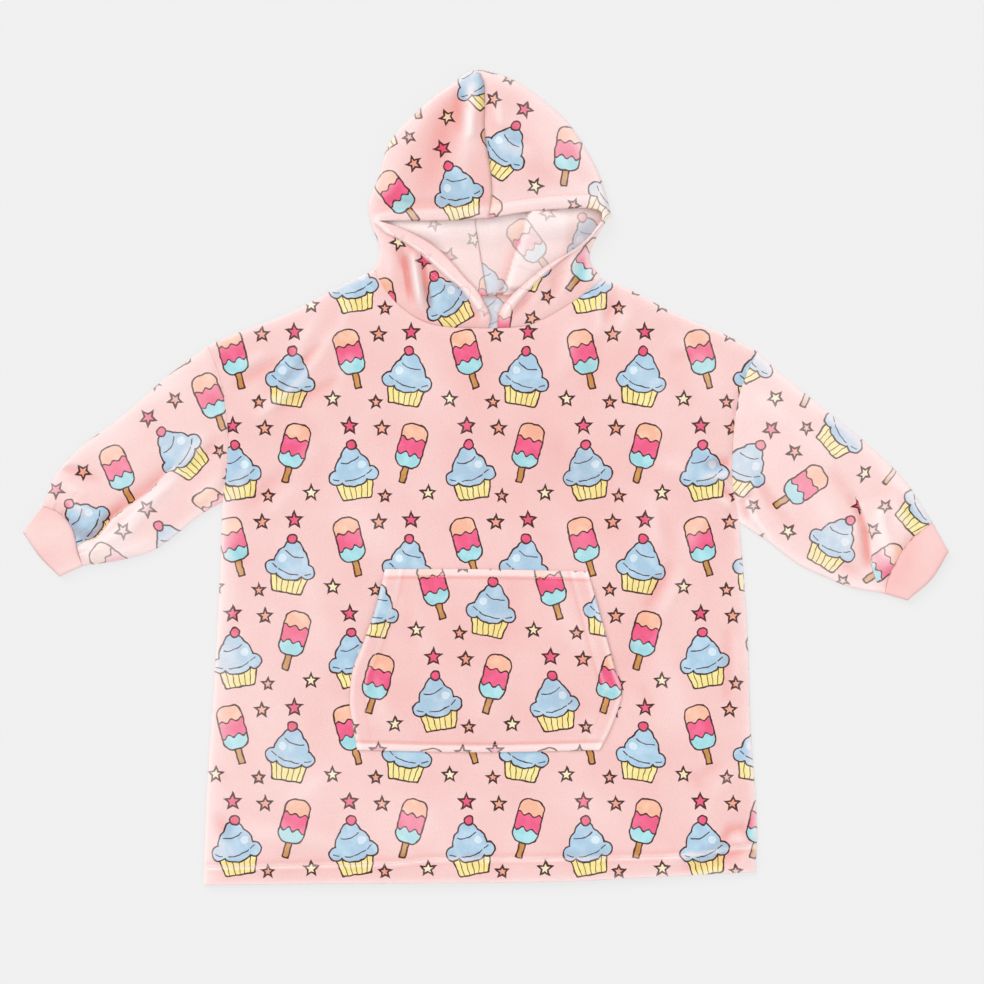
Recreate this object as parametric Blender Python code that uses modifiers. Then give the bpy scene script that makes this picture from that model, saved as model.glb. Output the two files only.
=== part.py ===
# Child's hooded blanket top of printed fleece, laid flat on its back with the front facing up.
# The sewn pieces are a front and a back panel, two sleeves with cuffs, two hood halves and a
# pouch pocket. Lengths in the tables are millimetres; the scene is in metres with +Z up, +X to
# the viewer's right and +Y towards the hood.

import bisect
import math
from collections import namedtuple

import bmesh
import bpy
from mathutils import Vector
from mathutils.bvhtree import BVHTree

MM = 0.001

WALL = 2.4
HEM_WALL = 3.2
CUFF_WALL = 3.0
SEAM_GAP = 0.3
SEAM_SHIFT = 0.35
CORNER_CLEARANCE = 0.7
CROWN_CLEARANCE = 1.0
# Times the seam shift by which the turned edges of a tube stand off from the next piece.
TURN_CLEARANCE = 4.0
SEAM_TOP = 2 * WALL + SEAM_GAP
HEM_LIFT = 2 * (HEM_WALL - WALL)

FRONT_PUFF = 2.8
ARMHOLE_RISE = 2.0
SLEEVE_PUFF = 2.4
JOIN_HEIGHT = 7.4
CUFF_END_HEIGHT = 8.0
FACE_BAND = 20
BAND_STEP = 1.5
POCKET_SIDE_BAND = 20
POCKET_END_BAND = 10
POCKET_LIP_LIFT = 1.6

# How square the swelling of a sheet between its two edges is; 1 would be a sine.
SWELL_POWER = 0.6
# Shares over which the folds die out towards the edges that are sewn.
PANEL_SIDE_FADE = 0.05
PANEL_TOP_FADE = 0.08
SLEEVE_END_FADE = 0.12
HOOD_SEAM_FADE = 0.1
HOOD_EDGE_FADE = 0.15
# Limits of the hood's turn, run and band step as shares where its upper layer is narrow.
MOST_TURN_SHARE = 0.45
LEAST_RUN_SHARE = 0.25
MOST_STEP_SHARE = 0.1
# The pocket's hand openings stand a little open: width, start and ease as shares of the pocket.
POCKET_LIP_WIDTH = 0.12
POCKET_LIP_START = 0.35
POCKET_LIP_EASE = 0.15

# Share of the panel's left and right edges that is side seam; the rest is armhole.
SIDE_SHARE = 0.7
HEM_SHARE = 0.042
HEM_STEP_SHARE = 0.048
# Shares of the panel's width where the shoulders end and the two sides of the neck meet.
LEFT_SHOULDER_SHARE = 0.30
NECK_MID_SHARE = 0.51
NECK_GAP_SHARE = 0.008
RIGHT_SHOULDER_SHARE = 0.72
# Share of the hood's height where the edge of the face opening turns back over the crown.
CORNER_SHARE = 0.42
# Share of the hood's height of the last row before its middle seam.
CROWN_SEAM_SHARE = 0.955

SHEEN = 0.4

FOLD_STEPS = 6
TUBE_UNDER_STEPS = 5
TUBE_OVER_STEPS = 10
SLEEVE_RINGS = 12
CUFF_RINGS = 3
HOOD_UNDER_STEPS = 5
HOOD_OVER_STEPS = 8
HOOD_LOW_ROWS = 6
HOOD_HIGH_ROWS = 9
FRONT_SIDE_ROWS = 12
FRONT_SHOULDER_COLUMNS = 6
BACK_SIDE_ROWS = 5
BACK_SHOULDER_COLUMNS = 3
POCKET_INNER_COLUMNS = 10
POCKET_INNER_ROWS = 8

Edge = namedtuple("Edge", "x y")
Fold = namedtuple("Fold", "x0 y0 x1 y1 width rise")
HoodSection = namedtuple("HoodSection", "share fold middle lip")

# Body outline: the hem from left to right, then the sides from the hem up.
HEM = (
    Edge(-368, -530),
    Edge(-203, -528),
    Edge(-49, -527),
    Edge(96, -525),
    Edge(226, -519),
    Edge(351, -513),
)
LEFT_SIDE = (
    Edge(-368, -530),
    Edge(-364, -420),
    Edge(-355, -284),
    Edge(-347, -146),
    Edge(-343, -32),
)
RIGHT_SIDE = (
    Edge(351, -513),
    Edge(353, -450),
    Edge(345, -330),
    Edge(341, -211),
    Edge(336, -133),
    Edge(330, -59),
)
# Armholes from the armpit up to the shoulder point.
LEFT_ARMHOLE = (
    Edge(-343, -32),
    Edge(-337, 10),
    Edge(-335, 49),
    Edge(-340, 101),
    Edge(-349, 140),
    Edge(-362, 171),
)
RIGHT_ARMHOLE = (
    Edge(330, -59),
    Edge(321, -10),
    Edge(321, 40),
    Edge(327, 96),
    Edge(338, 132),
    Edge(353, 164),
)
# Shoulder seams from the shoulder point in to the neck.
LEFT_SHOULDER = (
    Edge(-362, 171),
    Edge(-333, 184),
    Edge(-253, 215),
    Edge(-195, 246),
    Edge(-145, 270),
)
RIGHT_SHOULDER = (
    Edge(353, 164),
    Edge(315, 184),
    Edge(243, 215),
    Edge(190, 243),
    Edge(151, 258),
)
# Neck seams from the shoulder in to the middle, front and back.
LEFT_NECK_FRONT = (
    Edge(-145, 270),
    Edge(-131, 244),
    Edge(-112, 223),
    Edge(-86, 205),
    Edge(-53, 196),
    Edge(3, 194),
)
RIGHT_NECK_FRONT = (
    Edge(151, 258),
    Edge(129, 239),
    Edge(103, 222),
    Edge(77, 207),
    Edge(51, 197),
    Edge(15, 194),
)
LEFT_NECK_BACK = (Edge(-145, 270), Edge(-86, 247), Edge(2, 236))
RIGHT_NECK_BACK = (Edge(151, 258), Edge(83, 242), Edge(2, 236))

# Sleeves: upper and lower edge from the body to the cuff, then the cuff seam and the open end
# from the upper to the lower edge.
LEFT_SLEEVE_UPPER = (
    Edge(-362, 171),
    Edge(-408, 137),
    Edge(-479, 75),
    Edge(-521, 44),
    Edge(-558, 6),
    Edge(-576, -37),
)
LEFT_SLEEVE_LOWER = (
    Edge(-343, -32),
    Edge(-373, -50),
    Edge(-411, -81),
    Edge(-437, -97),
    Edge(-478, -108),
    Edge(-524, -115),
)
LEFT_CUFF_JOIN = (
    Edge(-576, -37),
    Edge(-554, -46),
    Edge(-539, -64),
    Edge(-531, -90),
    Edge(-524, -115),
)
LEFT_CUFF_END = (Edge(-602, -71), Edge(-580, -103), Edge(-554, -129))
RIGHT_SLEEVE_UPPER = (
    Edge(353, 164),
    Edge(382, 137),
    Edge(458, 75),
    Edge(496, 44),
    Edge(546, -5),
    Edge(581, -58),
)
RIGHT_SLEEVE_LOWER = (
    Edge(330, -59),
    Edge(364, -81),
    Edge(405, -112),
    Edge(440, -129),
    Edge(478, -144),
    Edge(518, -151),
)
RIGHT_CUFF_JOIN = (
    Edge(581, -58),
    Edge(553, -80),
    Edge(535, -105),
    Edge(523, -130),
    Edge(518, -151),
)
RIGHT_CUFF_END = (Edge(602, -96), Edge(580, -132), Edge(548, -160))

# Hood outline from the shoulder up to the crown, in a part below and a part above the place
# where the face opening turns back.
LEFT_HOOD_SIDE = (Edge(-145, 270), Edge(-138, 296), Edge(-150, 330))
LEFT_HOOD_DOME = (
    Edge(-150, 330),
    Edge(-153, 356),
    Edge(-141, 387),
    Edge(-126, 434),
    Edge(-100, 465),
    Edge(-67, 496),
    Edge(-40, 515),
    Edge(-22, 528),
    Edge(-10, 530),
)
RIGHT_HOOD_SIDE = (Edge(151, 258), Edge(135, 286), Edge(148, 319), Edge(163, 342))
RIGHT_HOOD_DOME = (
    Edge(163, 342),
    Edge(156, 370),
    Edge(145, 400),
    Edge(126, 434),
    Edge(104, 465),
    Edge(68, 496),
    Edge(38, 516),
    Edge(4, 528),
    Edge(-10, 530),
)
# Edge of the face opening: from the neck up to its corner, then along the crown to the middle.
LEFT_FACE = (
    Edge(3, 194),
    Edge(-11, 226),
    Edge(-37, 262),
    Edge(-76, 296),
    Edge(-105, 321),
    Edge(-138, 333),
)
LEFT_CROWN_EDGE = (Edge(-138, 333), Edge(-56, 333), Edge(4, 336))
RIGHT_FACE = (
    Edge(15, 194),
    Edge(18, 218),
    Edge(45, 248),
    Edge(80, 276),
    Edge(122, 300),
    Edge(151, 334),
)
RIGHT_CROWN_EDGE = (Edge(151, 334), Edge(115, 346), Edge(60, 345), Edge(4, 336))
# Middle seam: up the inside of the back, then down over the crown to the face opening.
INNER_SEAM_LOW = (Edge(2, 236), Edge(-8, 296), Edge(-14, 332))
INNER_SEAM_HIGH = (Edge(-14, 332), Edge(-10, 413), Edge(-9, 500))
CROWN_SEAM = (
    Edge(-10, 530),
    Edge(-2, 508),
    Edge(-1, 444),
    Edge(5, 406),
    Edge(8, 369),
    Edge(4, 336),
)
# Height of the hood's upper layer at its folded edge, its middle and the face opening.
HOOD_SECTIONS = (
    HoodSection(0.00, SEAM_TOP, SEAM_TOP, SEAM_TOP),
    HoodSection(0.10, 7.0, 9.0, 9.5),
    HoodSection(0.25, 9.0, 12.5, 13.0),
    HoodSection(0.42, 10.0, 12.0, 13.5),
    HoodSection(0.60, 11.0, 17.0, 15.0),
    HoodSection(0.80, 11.0, 20.0, 16.5),
    HoodSection(1.00, 11.0, 21.0, 17.0),
)

POCKET_LEFT = (
    Edge(-167, -354),
    Edge(-173, -322),
    Edge(-177, -289),
    Edge(-173, -250),
    Edge(-161, -219),
    Edge(-145, -175),
    Edge(-131, -119),
)
POCKET_RIGHT = (
    Edge(148, -354),
    Edge(164, -322),
    Edge(177, -279),
    Edge(168, -249),
    Edge(158, -212),
    Edge(145, -165),
    Edge(133, -122),
)
POCKET_LOW = (Edge(-167, -354), Edge(-8, -357), Edge(148, -354))
POCKET_HIGH = (Edge(-131, -119), Edge(-8, -119), Edge(133, -122))

# Largest soft folds of the upper side: a ridge or a trough from one end to the other.
FOLDS = (
    Fold(-258, 93, -170, 240, 17, 2.2),
    Fold(-222, 60, -150, 180, 20, -1.6),
    Fold(150, 235, 250, 120, 18, 2.0),
    Fold(-300, -40, -190, 20, 22, 1.8),
    Fold(300, -60, 190, -20, 22, 2.0),
    Fold(310, -20, 240, 70, 18, -1.4),
    Fold(-330, -200, -240, -150, 24, 1.2),
    Fold(-310, -420, -230, -300, 26, -1.2),
    Fold(270, -440, 335, -480, 18, 2.2),
    Fold(250, -300, 320, -200, 24, 1.2),
    Fold(-60, 90, 40, -30, 30, 1.2),
    Fold(60, 130, 150, 30, 26, -1.2),
    Fold(-260, -505, -225, -430, 22, 1.4),
    Fold(40, -520, 60, -440, 24, 1.2),
    Fold(-532, -82, -430, -6, 11, 3.2),
    Fold(-505, -88, -400, -30, 12, -2.0),
    Fold(-500, 30, -430, 60, 14, 1.6),
    Fold(-420, 20, -390, 110, 15, 1.6),
    Fold(516, -40, 520, -112, 11, 3.4),
    Fold(494, -56, 492, -118, 10, -2.0),
    Fold(380, -60, 420, -20, 14, 2.2),
    Fold(430, 60, 500, -20, 14, 1.8),
    Fold(-17, 500, -16, 440, 10, 3.6),
    Fold(-36, 496, -32, 450, 11, -2.4),
    Fold(-95, 420, -60, 360, 16, 2.2),
    Fold(70, 460, 95, 380, 16, 2.0),
    Fold(-108, 290, -98, 222, 9, 1.8),
    Fold(-80, 288, -72, 214, 9, 1.6),
    Fold(95, 285, 70, 225, 11, 1.8),
)


def curve(rows, share):
    # Point at a share of the way along a smooth line through the rows.
    marks = [0.0]
    for before, after in zip(rows, rows[1:]):
        marks.append(marks[-1] + math.dist(before, after))
    reach = min(max(share, 0.0), 1.0) * marks[-1]
    index = min(bisect.bisect_right(marks, reach) - 1, len(rows) - 2)
    length = marks[index + 1] - marks[index]
    part = (reach - marks[index]) / length
    start, end = Vector(rows[index]), Vector(rows[index + 1])

    def slope(at):
        low, high = max(at - 1, 0), min(at + 1, len(rows) - 1)
        return (Vector(rows[high]) - Vector(rows[low])) / (marks[high] - marks[low])

    square, cube = part**2, part**3
    return (
        start * (2 * cube - 3 * square + 1)
        + end * (3 * square - 2 * cube)
        + slope(index) * length * (cube - 2 * square + part)
        + slope(index + 1) * length * (cube - square)
    )


def chain(first, second, split, share):
    # Point on two joined lines; the first takes the shares up to the split.
    if share <= split:
        return curve(first, share / split)
    return curve(second, (share - split) / (1 - split))


def bulge(rows, share):
    # How far the line through the rows strays from the straight line between its ends.
    return curve(rows, share) - Vector(rows[0]).lerp(Vector(rows[-1]), share)


def blend(low, high, left, right, corners, across, up):
    # Point inside four edges, from the points of each edge that face it and the four corners.
    low_left, low_right, high_left, high_right = corners
    between = low.lerp(high, up) + left.lerp(right, across)
    return between - low_left.lerp(low_right, across).lerp(high_left.lerp(high_right, across), up)


def ease(share):
    part = min(max(share, 0.0), 1.0)
    return part * part * (3 - 2 * part)


def swell(share):
    return max(math.sin(math.pi * min(max(share, 0.0), 1.0)), 0.0) ** SWELL_POWER


def fold_rise(point):
    total = 0.0
    for fold in FOLDS:
        start = Vector((fold.x0, fold.y0))
        run = Vector((fold.x1, fold.y1)) - start
        along = min(max((point - start).dot(run) / run.length_squared, 0.0), 1.0)
        off = (point - start - run * along).length
        total += fold.rise * math.exp(-((off / fold.width) ** 2))
    return total


def steps_between(low, high, count):
    return [low + (high - low) * step / count for step in range(count + 1)]


def fold_turns():
    # Share of the fold's reach still to go and share of its height, from under to over.
    turns = []
    for step in range(1, FOLD_STEPS):
        angle = math.pi * (step / FOLD_STEPS - 0.5)
        turns.append((1 - math.cos(angle), 0.5 + 0.5 * math.sin(angle)))
    return turns


def tube_stations(edge):
    # Shares across a flattened tube and of its height, once round from the upper edge.
    stations = [(share, 0.0) for share in steps_between(edge, 1 - edge, TUBE_UNDER_STEPS)]
    stations += [(1 - edge * reach, lift) for reach, lift in fold_turns()]
    stations += [(share, 1.0) for share in steps_between(1 - edge, edge, TUBE_OVER_STEPS)]
    stations += [(edge * reach, lift) for reach, lift in reversed(fold_turns())]
    stations.append((edge, 0.0))
    return stations


def hood_over_shares(length, height):
    # Shares from the folded edge to the face opening, with the turned band as the last two.
    edge = min(height / 2 / length, MOST_TURN_SHARE)
    band = max(1 - FACE_BAND / length, edge + LEAST_RUN_SHARE)
    ridge = min(band + BAND_STEP / length, band + MOST_STEP_SHARE)
    return steps_between(edge, band, HOOD_OVER_STEPS) + [ridge, 1.0]


def hood_under_shares(length, height):
    # Shares from the middle seam out to the folded edge.
    return steps_between(0.0, 1 - height / 2 / length, HOOD_UNDER_STEPS)


def hood_heights(share):
    # Fold, middle and lip heights at a share of the hood's height.
    index = 0
    while HOOD_SECTIONS[index + 1].share < share and index < len(HOOD_SECTIONS) - 2:
        index += 1
    low, high = HOOD_SECTIONS[index], HOOD_SECTIONS[index + 1]
    part = (share - low.share) / (high.share - low.share)
    return tuple(low[field] + (high[field] - low[field]) * part for field in (1, 2, 3))


def cloth(name, colour, roughness):
    material = bpy.data.materials.new(name)
    material.use_nodes = True
    shader = material.node_tree.nodes["Principled BSDF"]
    shader.inputs["Base Color"].default_value = (*colour, 1.0)
    shader.inputs["Roughness"].default_value = roughness
    shader.inputs["Sheen Weight"].default_value = SHEEN
    return material


def shell(name, columns, rows, place, material, wall, faces_up=True, thick=None):
    # An open sheet of columns by rows set out by place, with a solid wall on its inner side.
    sheet = bmesh.new()
    bmesh.ops.create_grid(sheet, x_segments=columns, y_segments=rows, size=1.0)
    span = max(vert.co.x for vert in sheet.verts)
    heavy = set()
    for vert in sheet.verts:
        column = round((vert.co.x / span + 1) / 2 * columns)
        row = round((vert.co.y / span + 1) / 2 * rows)
        vert.co = Vector(place(column, row)) * MM
        if thick and thick(column, row):
            heavy.add(tuple(round(part, 7) for part in vert.co))
    bmesh.ops.remove_doubles(sheet, verts=sheet.verts, dist=1e-6)
    sheet.normal_update()
    top = max(sheet.faces, key=lambda face: face.calc_center_median().z)
    if (top.normal.z > 0) != faces_up:
        bmesh.ops.reverse_faces(sheet, faces=sheet.faces)
    mesh = bpy.data.meshes.new(name)
    sheet.to_mesh(mesh)
    sheet.free()
    piece = bpy.data.objects.new(name, mesh)
    garment.objects.link(piece)
    mesh.materials.append(material)
    solid = piece.modifiers.new("wall", "SOLIDIFY")
    solid.thickness = wall * MM
    solid.offset = -1.0
    solid.use_even_offset = True
    if thick:
        group = piece.vertex_groups.new(name="hem")
        chosen = [
            vert.index
            for vert in mesh.vertices
            if tuple(round(part, 7) for part in vert.co) in heavy
        ]
        group.add(chosen, 1.0, "REPLACE")
        solid.vertex_group = "hem"
        solid.thickness = HEM_WALL * MM
        solid.thickness_vertex_group = wall / HEM_WALL
    return piece


def side_rows(count, armhole_shares):
    # Shares up the panel's sides with the armhole share at each, None below the armpit.
    rows = [(0.0, None), (HEM_SHARE, None), (HEM_STEP_SHARE, None)]
    rows += [(share, None) for share in steps_between(HEM_STEP_SHARE, SIDE_SHARE, count)[1:-1]]
    for share in reversed(armhole_shares):
        rows.append((SIDE_SHARE + (1 - SIDE_SHARE) * (1 - share), share))
    return rows


def panel_point(column, row):
    # Point of a body panel from its column (share, neck point) and row (share, armhole share).
    across, high = column
    up = row[0]
    left = chain(LEFT_SIDE, LEFT_ARMHOLE, SIDE_SHARE, up)
    right = chain(RIGHT_SIDE, RIGHT_ARMHOLE, SIDE_SHARE, up)
    corners = [Vector(at) for at in (HEM[0], HEM[-1], LEFT_ARMHOLE[-1], RIGHT_ARMHOLE[-1])]
    return blend(curve(HEM, across), high, left, right, corners, across, up)


def panel_columns(left_neck, right_neck, left_shares, right_shares, shoulder_columns):
    # Columns across a body panel: shoulder, left of the neck, right of the neck, shoulder.
    columns = []
    for share in steps_between(0.0, 1.0, shoulder_columns)[:-1]:
        columns.append((LEFT_SHOULDER_SHARE * share, curve(LEFT_SHOULDER, share)))
    neck_width = NECK_MID_SHARE - LEFT_SHOULDER_SHARE
    for share in left_shares:
        columns.append((LEFT_SHOULDER_SHARE + neck_width * share, curve(left_neck, share)))
    neck_width = RIGHT_SHOULDER_SHARE - NECK_MID_SHARE
    for share in reversed(right_shares):
        columns.append((RIGHT_SHOULDER_SHARE - neck_width * share, curve(right_neck, share)))
    for share in reversed(steps_between(0.0, 1.0, shoulder_columns)[:-1]):
        width = 1 - RIGHT_SHOULDER_SHARE
        columns.append((1 - width * share, curve(RIGHT_SHOULDER, share)))
    return columns


def chord(rows):
    return (Vector(rows[0]) - Vector(rows[-1])).length


def front_panel():
    left = [0.0] + hood_over_shares(chord(LEFT_NECK_FRONT), SEAM_TOP)
    right = [0.0] + hood_over_shares(chord(RIGHT_NECK_FRONT), SEAM_TOP)
    columns = panel_columns(
        LEFT_NECK_FRONT, RIGHT_NECK_FRONT, left, right, FRONT_SHOULDER_COLUMNS
    )
    # The two neck lines end a little apart, at the foot of the face opening.
    half = FRONT_SHOULDER_COLUMNS + len(left) - 1
    columns[half] = (NECK_MID_SHARE - NECK_GAP_SHARE, columns[half][1])
    columns[half + 1] = (NECK_MID_SHARE + NECK_GAP_SHARE, columns[half + 1][1])
    edge = SEAM_TOP / 2 / chord(LEFT_ARMHOLE)
    armhole = [0.0] + steps_between(edge, 1 - edge, TUBE_OVER_STEPS) + [1.0]
    rows = side_rows(FRONT_SIDE_ROWS, armhole)

    def place(column, row):
        across, up = columns[column][0], rows[row][0]
        point = panel_point(columns[column], rows[row])
        height = SEAM_TOP + FRONT_PUFF * swell(across) * swell((1 + up) / 2)
        if rows[row][1] is not None:
            height += ARMHOLE_RISE * math.sin(math.pi * rows[row][1])
        fade = ease(min(across, 1 - across) / PANEL_SIDE_FADE) * ease((1 - up) / PANEL_TOP_FADE)
        height += fold_rise(point) * fade
        if row <= 1:
            height += HEM_LIFT
        return (point.x, point.y, height)

    return shell(
        "front_panel",
        len(columns) - 1,
        len(rows) - 1,
        place,
        printed,
        WALL,
        thick=lambda column, row: row <= 1,
    )


def back_panel():
    left = hood_under_shares(chord(LEFT_NECK_BACK), SEAM_TOP) + [1.0]
    right = hood_under_shares(chord(RIGHT_NECK_BACK), SEAM_TOP) + [1.0]
    left = [1 - share for share in reversed(left)]
    right = [1 - share for share in reversed(right)][:-1]
    columns = panel_columns(LEFT_NECK_BACK, RIGHT_NECK_BACK, left, right, BACK_SHOULDER_COLUMNS)
    edge = SEAM_TOP / 2 / chord(LEFT_ARMHOLE)
    armhole = [0.0] + steps_between(edge, 1 - edge, TUBE_UNDER_STEPS) + [1.0]
    rows = side_rows(BACK_SIDE_ROWS, armhole)

    def place(column, row):
        point = panel_point(columns[column], rows[row])
        return (point.x, point.y, 0.0)

    return shell(
        "back_panel",
        len(columns) - 1,
        len(rows) - 1,
        place,
        printed,
        WALL,
        faces_up=False,
        thick=lambda column, row: row <= 1,
    )


def tube(name, rings, ends, sides, heights, material, wall, shift):
    # A flattened tube between two end lines and two side lines, lying flat on its under side.
    first, last = ends
    upper, lower = sides
    corners = [Vector(first[0]), Vector(first[-1]), Vector(last[0]), Vector(last[-1])]

    def place(column, row):
        along = row / rings
        low, high = curve(upper, along), curve(lower, along)
        edge_height = heights(0.0, along)
        share, lift = tube_stations(edge_height / 2 / (low - high).length)[column]
        start, end = curve(first, share), curve(last, share)
        point = blend(start, end, low, high, corners, share, along)
        if along == 0.0:
            point = point + shift * (1.0 if lift in (0.0, 1.0) else TURN_CLEARANCE)
        height = heights(share, along) if lift == 1.0 else edge_height
        if lift == 1.0:
            fade = ease(along / SLEEVE_END_FADE) * ease((1 - along) / SLEEVE_END_FADE)
            height += fold_rise(point) * fade * swell(share)
        return (point.x, point.y, height * lift)

    columns = len(tube_stations(0.1)) - 1
    return shell(name, columns, rings, place, material, wall)


def sleeve_height(share, along):
    seam = SEAM_TOP + ARMHOLE_RISE * math.sin(math.pi * share)
    flat = seam + (JOIN_HEIGHT - seam) * along
    return flat + SLEEVE_PUFF * swell(share) * swell(along)


def cuff_height(share, along):
    return JOIN_HEIGHT + (CUFF_END_HEIGHT - JOIN_HEIGHT) * along


def hood_half(name, silhouette, face, neck, towards_middle):
    side, dome = silhouette
    lower_lip, crown_edge = face
    neck_front, neck_back = neck
    levels = steps_between(0.0, CORNER_SHARE, HOOD_LOW_ROWS)
    levels += steps_between(CORNER_SHARE, CROWN_SEAM_SHARE, HOOD_HIGH_ROWS)[1:] + [1.0]
    turns = fold_turns()

    def place(column, row):
        level = levels[row]
        edge = chain(side, dome, CORNER_SHARE, level)
        lip = chain(lower_lip, crown_edge, CORNER_SHARE, level)
        middle = chain(INNER_SEAM_LOW, INNER_SEAM_HIGH, CORNER_SHARE, level)
        low_fade = max(0.0, 1 - level / CORNER_SHARE) ** 2
        high_fade = max(0.0, (level - CORNER_SHARE) / (1 - CORNER_SHARE)) ** 2
        fold, centre, lip_height = hood_heights(level)
        over = hood_over_shares((edge - lip).length, fold)
        under = hood_under_shares((edge - middle).length, fold)

        def under_point(share):
            return middle.lerp(edge, share) + bulge(tuple(reversed(neck_back)), share) * low_fade

        def over_point(share):
            bend = bulge(neck_front, share) * low_fade + bulge(CROWN_SEAM, share) * high_fade
            return edge.lerp(lip, share) + bend

        if column < len(under):
            point, height = under_point(under[column]), 0.0
        elif column < len(under) + len(turns):
            reach, lift = turns[column - len(under)]
            if lift < 0.5:
                point = under_point(1 - (1 - under[-1]) * reach)
            else:
                point = over_point(over[0] * reach)
            height = fold * lift
        else:
            share = over[column - len(under) - len(turns)]
            point = over_point(share)
            height = fold * (1 - share) + lip_height * share
            height += (centre - (fold + lip_height) / 2) * math.sin(math.pi * share)
            fade = ease(level / HOOD_SEAM_FADE) * ease((1 - level) / HOOD_SEAM_FADE)
            fade *= ease(share / HOOD_EDGE_FADE)
            height += fold_rise(point) * fade
            if share > over[-3] and level > 0:
                height += HEM_WALL - WALL
        if level == 0.0:
            in_turn = 0 <= column - len(under) + 1 <= len(turns) + 1
            rise = SEAM_SHIFT + (CORNER_CLEARANCE if in_turn else 0.0)
            point = point + Vector((0.0 if column == 0 else towards_middle * SEAM_SHIFT, rise))
        if level == 1.0 or column == 0:
            turned = len(under) <= column <= len(under) + len(turns)
            away = SEAM_GAP / 2 + (CROWN_CLEARANCE if turned else 0.0)
            point = point - Vector((towards_middle * away, 0.0))
        return (point.x, point.y, height)

    columns = HOOD_UNDER_STEPS + FOLD_STEPS + HOOD_OVER_STEPS + 2
    return shell(
        name,
        columns,
        len(levels) - 1,
        place,
        printed,
        WALL,
        thick=lambda column, row: column >= columns - 1 and row > 0,
    )


def pocket(front):
    # The pouch's underside follows the front panel's surface a seam's gap above it.
    ground = BVHTree.FromPolygons(
        [vert.co.copy() for vert in front.data.vertices],
        [tuple(face.vertices) for face in front.data.polygons],
    )
    width, depth = chord(POCKET_LOW), chord(POCKET_LEFT)
    side = POCKET_SIDE_BAND / width
    end = POCKET_END_BAND / depth
    side_step = side + BAND_STEP / width
    end_step = end + BAND_STEP / depth
    columns = [0.0, side] + steps_between(side_step, 1 - side_step, POCKET_INNER_COLUMNS)
    columns += [1 - side, 1.0]
    rows = [0.0, end] + steps_between(end_step, 1 - end_step, POCKET_INNER_ROWS) + [1 - end, 1.0]
    corners = [Vector(line[end]) for line in (POCKET_LOW, POCKET_HIGH) for end in (0, -1)]

    def place(column, row):
        across, up = columns[column], rows[row]
        low, high = curve(POCKET_LOW, across), curve(POCKET_HIGH, across)
        left, right = curve(POCKET_LEFT, up), curve(POCKET_RIGHT, up)
        point = blend(low, high, left, right, corners, across, up)
        above = Vector((point.x * MM, point.y * MM, 1.0))
        hit = ground.ray_cast(above, Vector((0, 0, -1)))[0]
        lift = POCKET_LIP_LIFT * ease(1 - min(across, 1 - across) / POCKET_LIP_WIDTH)
        lift *= ease((up - POCKET_LIP_START) / POCKET_LIP_EASE) * ease((1 - up) / POCKET_LIP_EASE)
        return (point.x, point.y, hit.z / MM + SEAM_GAP + lift)

    def thick(column, row):
        edge_column = column in (0, 1, len(columns) - 2, len(columns) - 1)
        return edge_column or row in (0, 1, len(rows) - 2, len(rows) - 1)

    return shell(
        "kangaroo_pocket",
        len(columns) - 1,
        len(rows) - 1,
        place,
        printed,
        WALL,
        faces_up=False,
        thick=thick,
    )


for thing in list(bpy.data.objects):
    bpy.data.objects.remove(thing)

garment = bpy.data.collections.new("hooded_blanket_top")
bpy.context.scene.collection.children.link(garment)
printed = cloth("printed_fleece", (0.93, 0.60, 0.57), 0.95)
knit = cloth("cuff_knit", (0.90, 0.53, 0.51), 0.9)

back_panel()
front = front_panel()
pocket(front)
tube(
    "sleeve_left",
    SLEEVE_RINGS,
    (tuple(reversed(LEFT_ARMHOLE)), LEFT_CUFF_JOIN),
    (LEFT_SLEEVE_UPPER, LEFT_SLEEVE_LOWER),
    sleeve_height,
    printed,
    WALL,
    Vector((-SEAM_SHIFT, 0)),
)
tube(
    "sleeve_right",
    SLEEVE_RINGS,
    (tuple(reversed(RIGHT_ARMHOLE)), RIGHT_CUFF_JOIN),
    (RIGHT_SLEEVE_UPPER, RIGHT_SLEEVE_LOWER),
    sleeve_height,
    printed,
    WALL,
    Vector((SEAM_SHIFT, 0)),
)
tube(
    "cuff_left",
    CUFF_RINGS,
    (LEFT_CUFF_JOIN, LEFT_CUFF_END),
    ((LEFT_CUFF_JOIN[0], LEFT_CUFF_END[0]), (LEFT_CUFF_JOIN[-1], LEFT_CUFF_END[-1])),
    cuff_height,
    knit,
    CUFF_WALL,
    Vector((-SEAM_SHIFT, -SEAM_SHIFT)),
)
tube(
    "cuff_right",
    CUFF_RINGS,
    (RIGHT_CUFF_JOIN, RIGHT_CUFF_END),
    ((RIGHT_CUFF_JOIN[0], RIGHT_CUFF_END[0]), (RIGHT_CUFF_JOIN[-1], RIGHT_CUFF_END[-1])),
    cuff_height,
    knit,
    CUFF_WALL,
    Vector((SEAM_SHIFT, -SEAM_SHIFT)),
)
hood_half(
    "hood_left",
    (LEFT_HOOD_SIDE, LEFT_HOOD_DOME),
    (LEFT_FACE, LEFT_CROWN_EDGE),
    (LEFT_NECK_FRONT, LEFT_NECK_BACK),
    1.0,
)
hood_half(
    "hood_right",
    (RIGHT_HOOD_SIDE, RIGHT_HOOD_DOME),
    (RIGHT_FACE, RIGHT_CROWN_EDGE),
    (RIGHT_NECK_FRONT, RIGHT_NECK_BACK),
    -1.0,
)
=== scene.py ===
import math
from functools import partial

import bpy
import numpy as np
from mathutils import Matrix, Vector
from mathutils.bvhtree import BVHTree


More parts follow.
